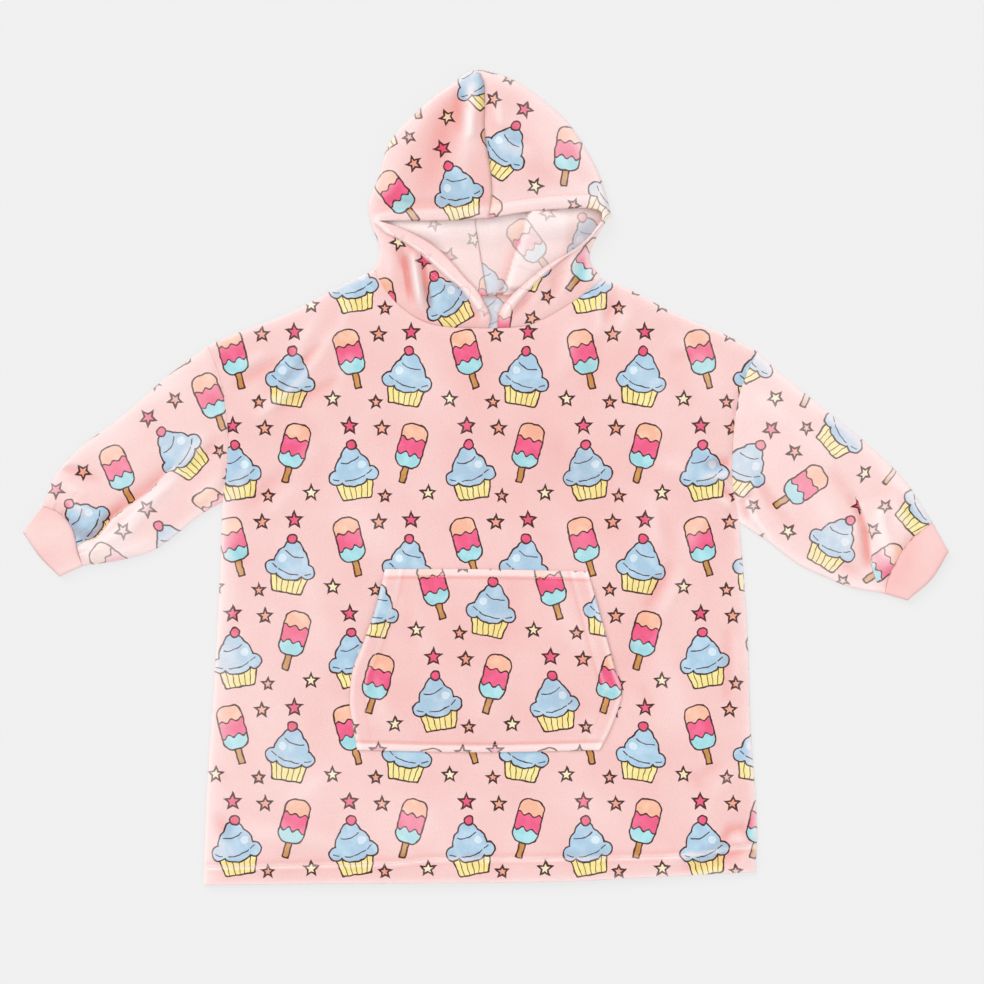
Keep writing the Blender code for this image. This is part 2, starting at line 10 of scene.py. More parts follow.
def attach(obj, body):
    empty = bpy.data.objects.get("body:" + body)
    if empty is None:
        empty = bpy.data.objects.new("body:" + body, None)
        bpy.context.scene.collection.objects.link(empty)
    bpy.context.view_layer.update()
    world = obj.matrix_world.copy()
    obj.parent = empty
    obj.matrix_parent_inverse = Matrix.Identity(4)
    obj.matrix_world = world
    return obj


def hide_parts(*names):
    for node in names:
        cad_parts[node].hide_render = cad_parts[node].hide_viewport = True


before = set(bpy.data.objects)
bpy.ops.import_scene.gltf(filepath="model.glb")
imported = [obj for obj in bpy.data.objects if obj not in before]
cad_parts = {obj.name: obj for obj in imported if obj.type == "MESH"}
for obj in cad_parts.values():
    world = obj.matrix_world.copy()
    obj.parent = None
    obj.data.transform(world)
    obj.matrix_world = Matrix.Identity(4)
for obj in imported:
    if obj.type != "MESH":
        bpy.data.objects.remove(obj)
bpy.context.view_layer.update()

# Child's hooded blanket top of printed fleece, laid flat on its back.
# Lengths in the tables are millimetres; x runs to the viewer's right and y towards the hood.
# A crease or a fold starts with the places of its two ends, counted in the picture's steps as
# fromView takes them.

mm = 0.001
wall = 1.9          # fleece as sewn
seamTop = 5.1       # upper face where front and back are sewn together
shareOfCorner = 0.42    # how far up the hood its face opening turns back

bpy.ops.object.select_all(action="DESELECT")


# reading the tables

def readLine(rows, share):
    # smooth line through the rows, read at shares of its length
    points = np.array(rows, float)
    marks = np.concatenate([[0.0], np.cumsum(np.linalg.norm(np.diff(points, axis=0), axis=1))])
    slopes = np.empty_like(points)
    slopes[1:-1] = (points[2:] - points[:-2]) / (marks[2:] - marks[:-2])[:, None]
    slopes[0] = (points[1] - points[0]) / (marks[1] - marks[0])
    slopes[-1] = (points[-1] - points[-2]) / (marks[-1] - marks[-2])
    reach = np.clip(np.asarray(share, float), 0, 1) * marks[-1]
    at = np.clip(np.searchsorted(marks, reach, side="right") - 1, 0, len(points) - 2)
    span = (marks[at + 1] - marks[at])[..., None]
    part = (reach - marks[at])[..., None] / span
    square, cube = part ** 2, part ** 3
    return (points[at] * (2 * cube - 3 * square + 1) + points[at + 1] * (3 * square - 2 * cube)
            + slopes[at] * span * (cube - 2 * square + part)
            + slopes[at + 1] * span * (cube - square))


def readJoined(lines, stops, share):
    # several lines end to end; each takes the shares between its two stops
    share = np.asarray(share, float)
    found = np.zeros(share.shape + (2,))
    for line, low, high in zip(lines, stops, stops[1:]):
        inside = (share >= low) & (share <= high)
        found[inside] = readLine(line, (share[inside] - low) / (high - low))
    return found


def fillPatch(low, high, left, right, across, up):
    # points inside four edge lines
    s, t = across[None, :, None], up[:, None, None]
    inner = low[None] * (1 - t) + high[None] * t + left[:, None] * (1 - s) + right[:, None] * s
    corners = ((low[0] * (1 - s) + low[-1] * s) * (1 - t)
               + (high[0] * (1 - s) + high[-1] * s) * t)
    return inner - corners


def ease(share):
    # smooth step from nought to one
    part = np.clip(share, 0, 1)
    return part * part * (3 - 2 * part)


def bell(distance, reach):
    # one at no distance, falling away softly
    return np.exp(-(distance / reach) ** 2)


def swell(share, power=0.6):
    # arch over the shares, nought at both ends
    return np.maximum(np.sin(np.pi * np.clip(share, 0, 1)), 0) ** power


def fromView(x, y):
    # millimetres for a place counted in 1.3 mm steps from the picture's top left corner
    return np.array([(x - 485.8) * 1.3, (477.5 - y) * 1.3])


def creaseHeight(points, creases):
    # soft ridges and troughs from one end to the other, placed by the picture; width and rise are
    # millimetres, and a seventh number, the lean, makes one side steeper
    total = np.zeros(points.shape[:-1])
    for x0, y0, x1, y1, width, rise, *lean in creases:
        start, end = fromView(x0, y0), fromView(x1, y1)
        run = end - start
        length = np.linalg.norm(run)
        offset = points - start
        share = offset @ run / length ** 2
        along = np.clip(share, 0, 1)
        side = (offset[..., 0] * run[1] - offset[..., 1] * run[0]) / length
        off = np.linalg.norm(offset - along[..., None] * run, axis=-1)
        reach = width * (1 + sum(lean) * np.tanh(side / width * 2))
        taper = 0.55 + 0.45 * np.sin(np.pi * np.clip(along, 0, 1)) ** 0.7
        total += rise * taper * bell(off, reach)
    return total


def foldOver(points, folds, reach, shadeReach=10):
    # cloth that lies over itself: the left side of each stretch, walked from its first end to its
    # second, stands higher; also gives where the fold shades the cloth and where its rim is
    lift, inShade, onRim = np.zeros((3,) + points.shape[:-1])
    for x0, y0, x1, y1, tall in folds:
        start, end = fromView(x0, y0), fromView(x1, y1)
        length = np.linalg.norm(end - start)
        run = (end - start) / length
        offset = points - start
        along, beside = offset @ run, offset[..., 1] * run[0] - offset[..., 0] * run[1]
        inStretch = ease((along + 12) / 12) * ease((length + 12 - along) / 12)
        raised = ease((beside + 2) / 4) * np.exp(-np.maximum(beside, 0) / reach)
        lift = np.maximum(lift, tall * inStretch * raised)
        shaded = ease(-beside / 2.5) * np.exp(np.minimum(beside, 0) / shadeReach)
        inShade = np.maximum(inShade, inStretch * shaded)
        onRim = np.maximum(onRim, inStretch * bell(beside - 2.5, 3))
    return lift, inShade, onRim


def swallowed(points, line, hidden, fade=150):
    # how far the print jumps past a fold that hides a strip of the cloth
    dense = readLine([fromView(x, y) for x, y in line], np.linspace(0, 1, 121))
    way = dense[-1] - dense[0]
    way = np.array([-way[1], way[0]]) / np.linalg.norm(way)
    flat = points[..., :2].reshape(-1, 2)
    nearest = np.argmin(((flat[:, None] - dense[None]) ** 2).sum(axis=2), axis=1)
    beside = ((flat - dense[nearest]) @ way).reshape(points.shape[:-1])
    far = np.linalg.norm(flat - dense[nearest], axis=1).reshape(points.shape[:-1])
    share = (nearest / 120).reshape(points.shape[:-1])
    jump = hidden * ease(beside / 1.6 + 0.5) * ease(share / 0.35) * bell(far, fade)
    return jump[..., None] * way


def paintedLightFrom(creases, outlineFar, edgePale=0.8, edgeReach=15, base=0.0):
    # painted highlight on ridges and near the outline, and painted shade in troughs
    return base + 0.16 * creases + edgePale * np.exp(-(np.maximum(outlineFar, 0) / edgeReach) ** 1.6)


def wander(place, seed):
    # uneven wave of about one, for puckers along a seam
    return (np.sin(place / 4.7 + seed) + 0.7 * np.sin(place / 7.9 + 1.7 * seed)
            + 0.5 * np.sin(place / 3.1 + 2.9 * seed)) / 2.2


def softField(points, size, seed):
    # slow uneven swelling of cloth that lies loose
    random = np.random.default_rng(int(seed * 10))
    total = np.zeros(points.shape[:-1])
    for turn, shift in zip(random.uniform(0, math.pi, 7), random.uniform(0, 6.28, 7)):
        reach = size * random.uniform(0.7, 1.5)
        total += np.sin((points[..., 0] * math.cos(turn) + points[..., 1] * math.sin(turn)) / reach + shift)
    return total / 7


def stations(count, length, close=(0.8, 1.8, 3.2, 5.0)):
    # even shares of a length, with a few more lines close to both ends
    near = [d / length for d in close]
    inner = np.linspace(close[-1] * 1.6 / length, 1 - close[-1] * 1.6 / length, count)
    return np.array([0.0] + near + list(inner) + [1 - d for d in reversed(near)] + [1.0])


def roundOff(distance, radius, drop):
    # quarter-round lowering of a sheet towards its edge
    part = np.clip(1 - distance / radius, 0, 1)
    return -drop * (1 - np.sqrt(np.maximum(1 - part ** 2, 0)))


def turned(points, degrees, shift=(0, 0), mirror=False):
    # the print's own place for points of the cloth
    x, y = points[..., 0] * (-1 if mirror else 1), points[..., 1]
    c, s = math.cos(math.radians(degrees)), math.sin(math.radians(degrees))
    return np.stack([c * x + s * y + shift[0], c * y - s * x + shift[1]], axis=-1)


# making a sheet

def makeSheet(name, points, uv, closed=False, facesUp=True, uvUnder=None, underColumns=None,
              nap=None, plain=None):
    rows, columns = points.shape[:2]
    ring = columns - 1 if closed else columns
    verts = points[:, :ring].reshape(-1, 3) * mm
    faces, corners = [], []
    for i in range(rows - 1):
        for j in range(columns - 1):
            a, b = i * ring + j, i * ring + (j + 1) % ring
            faces.append((a, b, b + ring, a + ring))
            chart = uvUnder if underColumns is not None and underColumns[j] else uv
            corners += [chart[i, j], chart[i, j + 1], chart[i + 1, j + 1], chart[i + 1, j]]
    mesh = bpy.data.meshes.new(name)
    mesh.from_pydata(verts.tolist(), [], faces)
    layer = mesh.uv_layers.new(name="cloth")
    layer.data.foreach_set("uv", (np.array(corners) * mm).ravel())
    # the first attribute is mostly painted light: above nought a painted highlight, below nought painted
    # shade, and on the cuffs also slow uneven blotches; plain is where no print shows
    for label, values in (("nap", nap), ("plain", plain)):
        held = mesh.attributes.new(label, "FLOAT", "POINT")
        values = np.zeros(points.shape[:2]) if values is None else np.broadcast_to(values, points.shape[:2])
        held.data.foreach_set("value", np.clip(values[:, :ring], -1, 1).astype(np.float32).ravel())
    mesh.update()
    top = max(mesh.polygons, key=lambda face: face.center.z)
    if (top.normal.z > 0) != facesUp:
        mesh.flip_normals()
    mesh.polygons.foreach_set("use_smooth", [True] * len(faces))
    piece = bpy.data.objects.new(name, mesh)
    bpy.context.scene.collection.objects.link(piece)
    return piece


def unrolled(points, isOver):
    # places on the cloth for the turned edges too, as if they lay flat beside the upper side
    flat = points[..., :2].copy()
    gaps = np.linalg.norm(np.diff(points, axis=1), axis=2)
    columns = np.where(isOver)[0]
    for edge, step, stop in ((columns[0], -1, -1), (columns[-1], 1, points.shape[1])):
        away = flat[:, edge] - flat[:, edge - 3 * step]
        away /= np.maximum(np.linalg.norm(away, axis=1), 1e-6)[:, None]
        for j in range(edge + step, stop, step):
            flat[:, j] = flat[:, j - step] + away * gaps[:, min(j, j - step)][:, None]
    return flat


def giveWall(piece, thick, outer, inner):
    # thickness behind the face, with the cloth's other side on it
    piece.data.materials.append(outer)
    piece.data.materials.append(inner)
    solid = piece.modifiers.new("wall", "SOLIDIFY")
    solid.thickness, solid.offset = thick * mm, -1
    solid.material_offset = 1
    solid.use_even_offset = False
    bpy.context.view_layer.objects.active = piece
    bpy.ops.object.modifier_apply(modifier=solid.name)


def groundOf(*pieces):
    # what a ray from above meets first
    points, faces = [], []
    for piece in pieces:
        start = len(points)
        points += [vert.co.copy() for vert in piece.data.vertices]
        faces += [[start + v for v in face.vertices] for face in piece.data.polygons]
    return BVHTree.FromPolygons(points, faces)


def heightOn(ground, x, y, otherwise=seamTop):
    hit = ground.ray_cast(Vector((x * mm, y * mm, 0.5)), Vector((0, 0, -1)))
    return hit[0].z / mm if hit[0] else otherwise


def liesOn(ground, x, y, least=3.2):
    hit = ground.ray_cast(Vector((x * mm, y * mm, 0.5)), Vector((0, 0, -1)))
    return hit[0] is not None and hit[0].z > least * mm


def settle(piece, node, others=()):
    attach(piece, "root")
    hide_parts(node)
    for other in others:
        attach(other, "root")


# materials

def linear(hexColour):
    # sRGB hex to linear
    values = [int(hexColour[i:i + 2], 16) / 255 for i in (1, 3, 5)]
    return [v / 12.92 if v <= 0.04045 else ((v + 0.055) / 1.055) ** 2.4 for v in values] + [1.0]


maths = "ShaderNodeMath"
vectors = "ShaderNodeVectorMath"
flatNoise = ("ShaderNodeTexNoise", {"noise_dimensions": "2D"})
colourMix = ("ShaderNodeMix", {"data_type": "RGBA"})


def addNode(tree, kind, settings=None, links=None):
    # one node with its settings, or the name of its operation alone; links holds values, sockets
    # and nodes by input, and a node stands for its first output
    node = tree.nodes.new(kind)
    if isinstance(settings, str):
        settings = {"operation": settings}
    for key, value in (settings or {}).items():
        setattr(node, key, value)
    for key, value in (links or {}).items():
        if isinstance(value, bpy.types.Node):
            value = value.outputs[0]
        if isinstance(value, bpy.types.NodeSocket):
            tree.links.new(value, node.inputs[key])
        else:
            node.inputs[key].default_value = value
    return node


def newMaterial(name):
    # an empty material, and what adds nodes to it
    material = bpy.data.materials.new(name)
    material.use_nodes = True
    material.node_tree.nodes.clear()
    return material, partial(addNode, material.node_tree)


# Minky fleece, polyester: knitted ground with a short brushed pile, sublimation printed on the
# face. The pile scatters light, so it looks dry and a little paler where it turns away.
# two of its colours are painted light: a pale pink mixed in as painted highlight and a deeper pink
# multiplied in as painted shade
fleece = dict(ground="#F0C6C3", shade="#EFC2BF", pale="#F1CAC7", outline="#4C3230",
              blue="#A9C8DE", blueLight="#CFE2EE", yellow="#F3E193", cherry="#E4587A",
              coral="#F2B79C", pink="#EA5F86", mint="#9FD6DE", stick="#C58B4E",
              peach="#E89C86", cream="#F0E4BC", highlightPink="#FEEFED", shadePink="#F8CBC6",
              cellWide=152.0, cellHigh=122.0, motifSize=0.87, outlineHalf=1.2,
              napSize=75.0, pileSize=1.7, tuftSize=9.0, bump=0.35, wobble=3.0, sheen="#FFE9E6",
              ghost="#F0E2DF", ghostFade=0.46)


def shapeStar(add, cell, place, size):
    # signed distance to a five-pointed star
    local = add(vectors, "SUBTRACT", {0: cell, 1: (*place, 0)})
    split = add("ShaderNodeSeparateXYZ", None, {0: local})
    angle = add(maths, "ARCTAN2", {0: split, 1: split.outputs[1]})
    fold = add(maths, "PINGPONG", {0: angle, 1: math.pi / 5})
    far = add(vectors, "LENGTH", {0: local})
    c = add(maths, "COSINE", {0: fold})
    s = add(maths, "SINE", {0: fold})
    x = add(maths, "MULTIPLY", {0: c, 1: far.outputs["Value"]})
    y = add(maths, "MULTIPLY", {0: s, 1: far.outputs["Value"]})
    inner = size * 0.46
    edgeX, edgeY = inner * math.cos(math.pi / 5) - size, inner * math.sin(math.pi / 5)
    length = math.hypot(edgeX, edgeY)
    nx, ny = edgeY / length, -edgeX / length
    part = add(maths, "MULTIPLY_ADD", {0: x, 1: nx, 2: -size * nx})
    return add(maths, "MULTIPLY_ADD", {0: y, 1: ny, 2: part})


def printColour(add):
    # cupcakes, ice lollies and small stars in staggered rows, read from the cloth's own UV in metres
    uv = add("ShaderNodeUVMap", {"uv_map": "cloth"})
    scaled = add(vectors, "SCALE", {0: uv, "Scale": 1000.0})
    hand = add(*flatNoise, {"Vector": scaled, "Scale": 0.09, "Detail": 1.0})
    drift = add(vectors, "SUBTRACT", {0: hand.outputs["Color"], 1: (0.5, 0.5, 0.5)})
    wobble = (fleece["wobble"], fleece["wobble"], 0.0)
    uneven = add(vectors, "MULTIPLY_ADD", {0: drift, 1: wobble, 2: scaled})
    split = add("ShaderNodeSeparateXYZ", None, {0: uneven})
    rowShare = add(maths, "DIVIDE", {0: split.outputs[1], 1: fleece["cellHigh"]})
    row = add(maths, "FLOOR", {0: rowShare})
    odd = add(maths, "FLOORED_MODULO", {0: row, 1: 2.0})
    cellX = add(maths, "FLOORED_MODULO", {0: split, 1: fleece["cellWide"]})
    cellY = add(maths, "FLOORED_MODULO", {0: split.outputs[1], 1: fleece["cellHigh"]})
    other = add(maths, "SUBTRACT", {0: fleece["cellWide"], 1: cellX})
    sideX = add("ShaderNodeMix", {"data_type": "FLOAT"}, {0: odd, 2: cellX, 3: other})
    cell = add("ShaderNodeCombineXYZ", None, {0: sideX, 1: cellY})

    fills, lines = [], []
    scale = (fleece["motifSize"], fleece["motifSize"], 1)

    # cupcake: icing of joined rounds over a pleated case
    cake = add("ShaderNodeMapping", {"vector_type": "TEXTURE"},
               {0: cell, "Location": (41, 45, 0), "Rotation": (0, 0, math.radians(9)), "Scale": scale})
    cakeAt = add("ShaderNodeSeparateXYZ", None, {0: cake})
    mirrored = add(vectors, "ABSOLUTE", {0: cake})
    mirroredX = add("ShaderNodeSeparateXYZ", None, {0: mirrored})
    sideways = add("ShaderNodeCombineXYZ", None, {0: mirroredX, 1: cakeAt.outputs[1]})
    icing = None
    for source, place, radius in ((cake, (0, 7), 26), (sideways, (9, -7), 10.5),
                                  (sideways, (26, -3), 11), (cake, (0, 26), 15)):
        far = add(vectors, "DISTANCE", {0: source, 1: (*place, 0)})
        ring = add(maths, "SUBTRACT", {0: far.outputs["Value"], 1: radius})
        if icing:
            icing = add(maths, "SMOOTH_MIN", {0: icing, 1: ring, 2: 2.0})
        else:
            icing = ring
    cherryFar = add(vectors, "DISTANCE", {0: cake, 1: (4, 43, 0)})
    cherry = add(maths, "SUBTRACT", {0: cherryFar.outputs["Value"], 1: 7.0})
    caseHalf = add(maths, "MULTIPLY_ADD", {0: cakeAt.outputs[1], 1: 0.24, 2: 31.0})
    caseSide = add(maths, "SUBTRACT", {0: mirroredX, 1: caseHalf})
    caseMid = add(maths, "ADD", {0: cakeAt.outputs[1], 1: 22.0})
    caseTall = add(maths, "ABSOLUTE", {0: caseMid})
    caseEnd = add(maths, "SUBTRACT", {0: caseTall, 1: 16.0})
    caseAll = add(maths, "SMOOTH_MAX", {0: caseSide, 1: caseEnd, 2: 4.0})
    notIcing = add(maths, "MULTIPLY", {0: icing, 1: -1.0})
    case = add(maths, "MAXIMUM", {0: caseAll, 1: notIcing})
    pleatShare = add(maths, "DIVIDE", {0: cakeAt, 1: caseHalf})
    pleat = add(maths, "PINGPONG", {0: pleatShare, 1: 0.17})
    pleatLine = add(maths, "MULTIPLY_ADD", {0: pleat, 1: 27.0, 2: -0.7})
    pleatIn = add(maths, "MAXIMUM", {0: pleatLine, 1: case})
    swirlFar = add(vectors, "DISTANCE", {0: cake, 1: (-7, 44, 0)})
    swirlOff = add(maths, "PINGPONG", {0: swirlFar.outputs["Value"], 1: 13.5})
    swirlLine = add(maths, "MULTIPLY_ADD", {0: swirlOff, 1: 1.0, 2: -0.8})
    swirlDeep = add(maths, "ADD", {0: icing, 1: 5.0})
    swirl = add(maths, "MAXIMUM", {0: swirlLine, 1: swirlDeep})
    shineFar = add(vectors, "DISTANCE", {0: cake, 1: (14, 12, 0)})
    shine = add(maths, "SUBTRACT", {0: shineFar.outputs["Value"], 1: 6.0})
    fills += [(case, "yellow"), (icing, "blue"), (shine, "blueLight"), (cherry, "cherry")]
    cherryOut = add(maths, "MULTIPLY", {0: cherry, 1: -1.0})
    icingFree = add(maths, "MAXIMUM", {0: icing, 1: cherryOut})
    lines += [case, icingFree, cherry]
    strokes = [pleatIn, swirl]

    # ice lolly: rounded bar in three flavours on a flat stick
    bar = add("ShaderNodeMapping", {"vector_type": "TEXTURE"},
              {0: cell, "Location": (114, 72, 0), "Rotation": (0, 0, math.radians(-15)), "Scale": scale})
    barAt = add("ShaderNodeSeparateXYZ", None, {0: bar})
    centred = add(vectors, "SUBTRACT", {0: bar, 1: (0, 11, 0)})
    folded = add(vectors, "ABSOLUTE", {0: centred})
    beyond = add(vectors, "SUBTRACT", {0: folded, 1: (5, 19, 0)})
    kept = add(vectors, "MAXIMUM", {0: beyond, 1: (0, 0, 0)})
    out = add(vectors, "LENGTH", {0: kept})
    body = add(maths, "SUBTRACT", {0: out.outputs["Value"], 1: 14.0})
    stickX = add(maths, "ABSOLUTE", {0: barAt})
    stickSide = add(maths, "SUBTRACT", {0: stickX, 1: 4.5})
    stickMid = add(maths, "ADD", {0: barAt.outputs[1], 1: 33.0})
    stickTall = add(maths, "ABSOLUTE", {0: stickMid})
    stickEnd = add(maths, "SUBTRACT", {0: stickTall, 1: 12.0})
    stickAll = add(maths, "SMOOTH_MAX", {0: stickSide, 1: stickEnd, 2: 3.0})
    notBody = add(maths, "MULTIPLY", {0: body, 1: -1.0})
    stick = add(maths, "MAXIMUM", {0: stickAll, 1: notBody})
    fills += [(stick, "stick"), (body, "mint")]
    for level, wave, name in ((-2, 2.6, "pink"), (21, 2.0, "coral")):
        phase = add(maths, "MULTIPLY_ADD", {0: barAt, 1: 0.42, 2: float(level)})
        curl = add(maths, "SINE", {0: phase})
        lift = add(maths, "MULTIPLY_ADD", {0: curl, 1: wave, 2: float(level)})
        under = add(maths, "SUBTRACT", {0: lift, 1: barAt.outputs[1]})
        band = add(maths, "MAXIMUM", {0: under, 1: body})
        fills.append((band, name))
        lines.append(band)
    lines += [stick, body]

    # small stars in the gaps
    for place, size, name in (((78, 104), 9.5, "peach"), ((36, 107), 10.5, "cherry"),
                              ((138, 20), 9.5, "cream"), ((82, 16), 8.0, "peach")):
        star = shapeStar(add, cell, place, size)
        fills.append((star, name))
        lines.append(star)

    # dyed ground: a little deeper and paler in slow patches, as brushed pile lies
    nap = add(*flatNoise,
              {"Vector": scaled, "Scale": 1 / fleece["napSize"], "Detail": 2.0, "Roughness": 0.5})
    patch = add("ShaderNodeValToRGB", None, {0: nap.outputs["Fac"]})
    low, high = patch.color_ramp.elements
    low.position, low.color = 0.3, linear(fleece["shade"])
    high.position, high.color = 0.72, linear(fleece["pale"])
    patch.color_ramp.elements.new(0.5).color = linear(fleece["ground"])
    colour, motif = patch, None
    for distance, name in fills:
        motif = distance if motif is None else add(maths, "MINIMUM", {0: motif, 1: distance})
        mask = add(maths, "LESS_THAN", {0: distance, 1: 0.0})
        colour = add(*colourMix, {0: mask, 6: colour, 7: linear(fleece[name])}).outputs[2]
    # ink takes unevenly on the pile, so each flat colour has lighter clouds
    cloud = add(*flatNoise, {"Vector": scaled, "Scale": 0.055, "Detail": 2.0, "Roughness": 0.5})
    inkLight = add("ShaderNodeMapRange", None,
                   {"Value": cloud.outputs["Fac"], "From Min": 0.42, "From Max": 0.72, "To Max": 0.45})
    inked = add(maths, "LESS_THAN", {0: motif, 1: 0.0})
    inkLighter = add(maths, "MULTIPLY", {0: inkLight, 1: inked})
    colour = add("ShaderNodeMix", {"data_type": "RGBA", "blend_type": "SOFT_LIGHT"},
                 {0: inkLighter, 6: colour, 7: (0.95, 0.95, 0.95, 1)}).outputs[2]
    nearest = None
    for distance in lines:
        off = add(maths, "ABSOLUTE", {0: distance})
        nearest = off if nearest is None else add(maths, "MINIMUM", {0: nearest, 1: off})
    edge = add(maths, "SUBTRACT", {0: nearest, 1: fleece["outlineHalf"]})
    for stroke in strokes:
        edge = add(maths, "MINIMUM", {0: edge, 1: stroke})
    drawn = add(maths, "LESS_THAN", {0: edge, 1: 0.0})
    colour = add(*colourMix, {0: drawn, 6: colour, 7: linear(fleece["outline"])}).outputs[2]
    # the hood's turned bands show hardly any print
    plain = add("ShaderNodeAttribute", {"attribute_name": "plain"})
    colour = add(*colourMix, {0: plain.outputs["Fac"], 6: colour, 7: patch}).outputs[2]
    return colour, scaled, drawn


def makeFleece(name, wrongSide):
    material, add = newMaterial(name)
    colour, place, outlines = printColour(add)
    if wrongSide:
        # ink barely reaches the back of the cloth, so the print is a pale ghost
        colour = add(*colourMix, {0: fleece["ghostFade"], 6: colour, 7: linear(fleece["ghost"])}).outputs[2]
    pile = add(*flatNoise,
               {"Vector": place, "Scale": 1 / fleece["pileSize"], "Detail": 3.0, "Roughness": 0.7})
    tuft = add(*flatNoise,
               {"Vector": place, "Scale": 1 / fleece["tuftSize"], "Detail": 2.0, "Roughness": 0.5})
    both = add(maths, "MULTIPLY_ADD", {0: tuft.outputs["Fac"], 1: 1.4, 2: pile.outputs["Fac"]})
    bump = add("ShaderNodeBump", None, {"Height": both, "Strength": fleece["bump"], "Distance": 0.0012})
    # colour follows the fine pile's bump: a little darker where it is low, painted shade, and lighter on
    # its tops
    pileShade = add("ShaderNodeMapRange", None,
                {"Value": pile.outputs["Fac"], "From Min": 0.3, "From Max": 0.7, "To Min": 0.93,
                 "To Max": 1.05})
    # painted light from the first attribute: painted highlight, pale, on ridges, turned edges and folds'
    # rims, and painted shade, deeper pink, in troughs and beside folds
    nap = add("ShaderNodeAttribute", {"attribute_name": "nap"})
    highlightShare = add("ShaderNodeMapRange", None, {"Value": nap.outputs["Fac"], "To Max": 0.8})
    shadeShare = add("ShaderNodeMapRange", None, {"Value": nap.outputs["Fac"], "From Max": -1.0})
    # the painted highlight leaves the dark outlines showing
    overLines = add(maths, "MULTIPLY_ADD", {0: outlines, 1: -0.55, 2: 1.0})
    highlightMix = add(maths, "MULTIPLY", {0: highlightShare, 1: overLines})
    colour = add(*colourMix, {0: highlightMix, 6: colour, 7: linear(fleece["highlightPink"])}).outputs[2]
    colour = add("ShaderNodeMix", {"data_type": "RGBA", "blend_type": "MULTIPLY"},
                 {0: shadeShare, 6: colour, 7: linear(fleece["shadePink"])}).outputs[2]
    shaded = add(vectors, "SCALE", {0: colour, "Scale": pileShade})
    shader = add("ShaderNodeBsdfPrincipled", None,
                 {"Base Color": shaded, "Roughness": 0.95, "Specular IOR Level": 0.15,
                  "Sheen Weight": 0.4, "Sheen Roughness": 0.5, "Sheen Tint": linear(fleece["sheen"]),
                  "Normal": bump})
    end = add("ShaderNodeOutputMaterial", None, {0: shader})
    end.is_active_output = True
    return material


def makeKnit(name, colourHex, paleHex, ribs):
    # 1x1 rib knit, cotton and elastane: fine raised wales with a matt dry face
    material, add = newMaterial(name)
    uv = add("ShaderNodeUVMap", {"uv_map": "cloth"})
    scaled = add(vectors, "SCALE", {0: uv, "Scale": 1000.0})
    speck = add(*flatNoise, {"Vector": scaled, "Scale": 0.8, "Detail": 3.0})
    split = add("ShaderNodeSeparateXYZ", None, {0: scaled})
    wale = add(maths, "MULTIPLY", {0: split, 1: 2 * math.pi / ribs})
    wave = add(maths, "SINE", {0: wale})
    height = add(maths, "MULTIPLY_ADD", {0: wave, 1: 0.35, 2: speck.outputs["Fac"]})
    bump = add("ShaderNodeBump", None, {"Height": height, "Strength": 0.2, "Distance": 0.0008})
    # colour follows the ribs' height: lighter on their tops and darker in the grooves, painted shade, with
    # fine speckle
    tone = add("ShaderNodeMapRange", None, {"Value": height, "To Min": 0.97, "To Max": 1.03})
    # mixed towards the second colour where the first attribute is high: slow uneven blotches, a set amount
    # per cuff, and deeper next to the sleeve
    nap = add("ShaderNodeAttribute", {"attribute_name": "nap"})
    paleShare = add("ShaderNodeMapRange", None, {"Value": nap.outputs["Fac"], "From Min": -1.0})
    cloth = add(*colourMix, {0: paleShare, 6: linear(colourHex), 7: linear(paleHex)}).outputs[2]
    shaded = add(vectors, "SCALE", {0: cloth, "Scale": tone})
    shader = add("ShaderNodeBsdfPrincipled", None,
                 {"Base Color": shaded, "Roughness": 0.9, "Specular IOR Level": 0.2, "Sheen Weight": 0.15,
                  "Normal": bump})
    add("ShaderNodeOutputMaterial", None, {0: shader})
    return material


def makeThread(name, colourHex):
    # spun polyester sewing thread, a dull twist
    material, add = newMaterial(name)
    place = add("ShaderNodeTexCoord")
    speck = add("ShaderNodeTexNoise", None, {"Vector": place.outputs["Object"], "Scale": 900.0})
    tone = add("ShaderNodeMapRange", None, {"Value": speck.outputs["Fac"], "To Min": 0.8, "To Max": 1.15})
    base = add("ShaderNodeRGB")
    base.outputs[0].default_value = linear(colourHex)
    shaded = add(vectors, "SCALE", {0: base, "Scale": tone})
    shader = add("ShaderNodeBsdfPrincipled", None, {"Base Color": shaded, "Roughness": 0.6})
    add("ShaderNodeOutputMaterial", None, {0: shader})
    return material


printedFace = makeFleece("printedFleeceFace", False)
printedBack = makeFleece("printedFleeceWrongSide", True)
knitRib = makeKnit("ribKnitPink", "#F0BDBA", "#F3D6D3", 2.6)
threadPink = makeThread("threadPink", "#F3BFBA")
print("materials made")


# the garment's own lines

hemLine = ((-368, -530), (-203, -528), (-49, -527), (96, -525), (226, -519), (351, -513))
leftSide = ((-368, -530), (-364, -420), (-355, -284), (-347, -146), (-343, -32))
rightSide = ((351, -513), (353, -450), (345, -330), (341, -211), (336, -133), (330, -59))
leftArmhole = ((-343, -32), (-337, 10), (-335, 49), (-340, 101), (-349, 140), (-362, 171))
rightArmhole = ((330, -59), (321, -10), (321, 40), (327, 96), (338, 132), (353, 164))
leftShoulder = ((-362, 171), (-333, 184), (-253, 215), (-195, 246), (-145, 270))
rightShoulder = ((353, 164), (315, 184), (243, 215), (190, 243), (151, 258))
leftNeckFront = ((-145, 270), (-131, 244), (-112, 223), (-86, 205), (-53, 196), (3, 194))
rightNeckFront = ((151, 258), (129, 239), (103, 222), (77, 207), (51, 197), (15, 194))
leftNeckBack = ((-145, 270), (-86, 247), (2, 236))
rightNeckBack = ((151, 258), (83, 242), (2, 236))
leftCuffJoin = ((-576, -37), (-554, -46), (-539, -64), (-531, -90), (-524, -115))
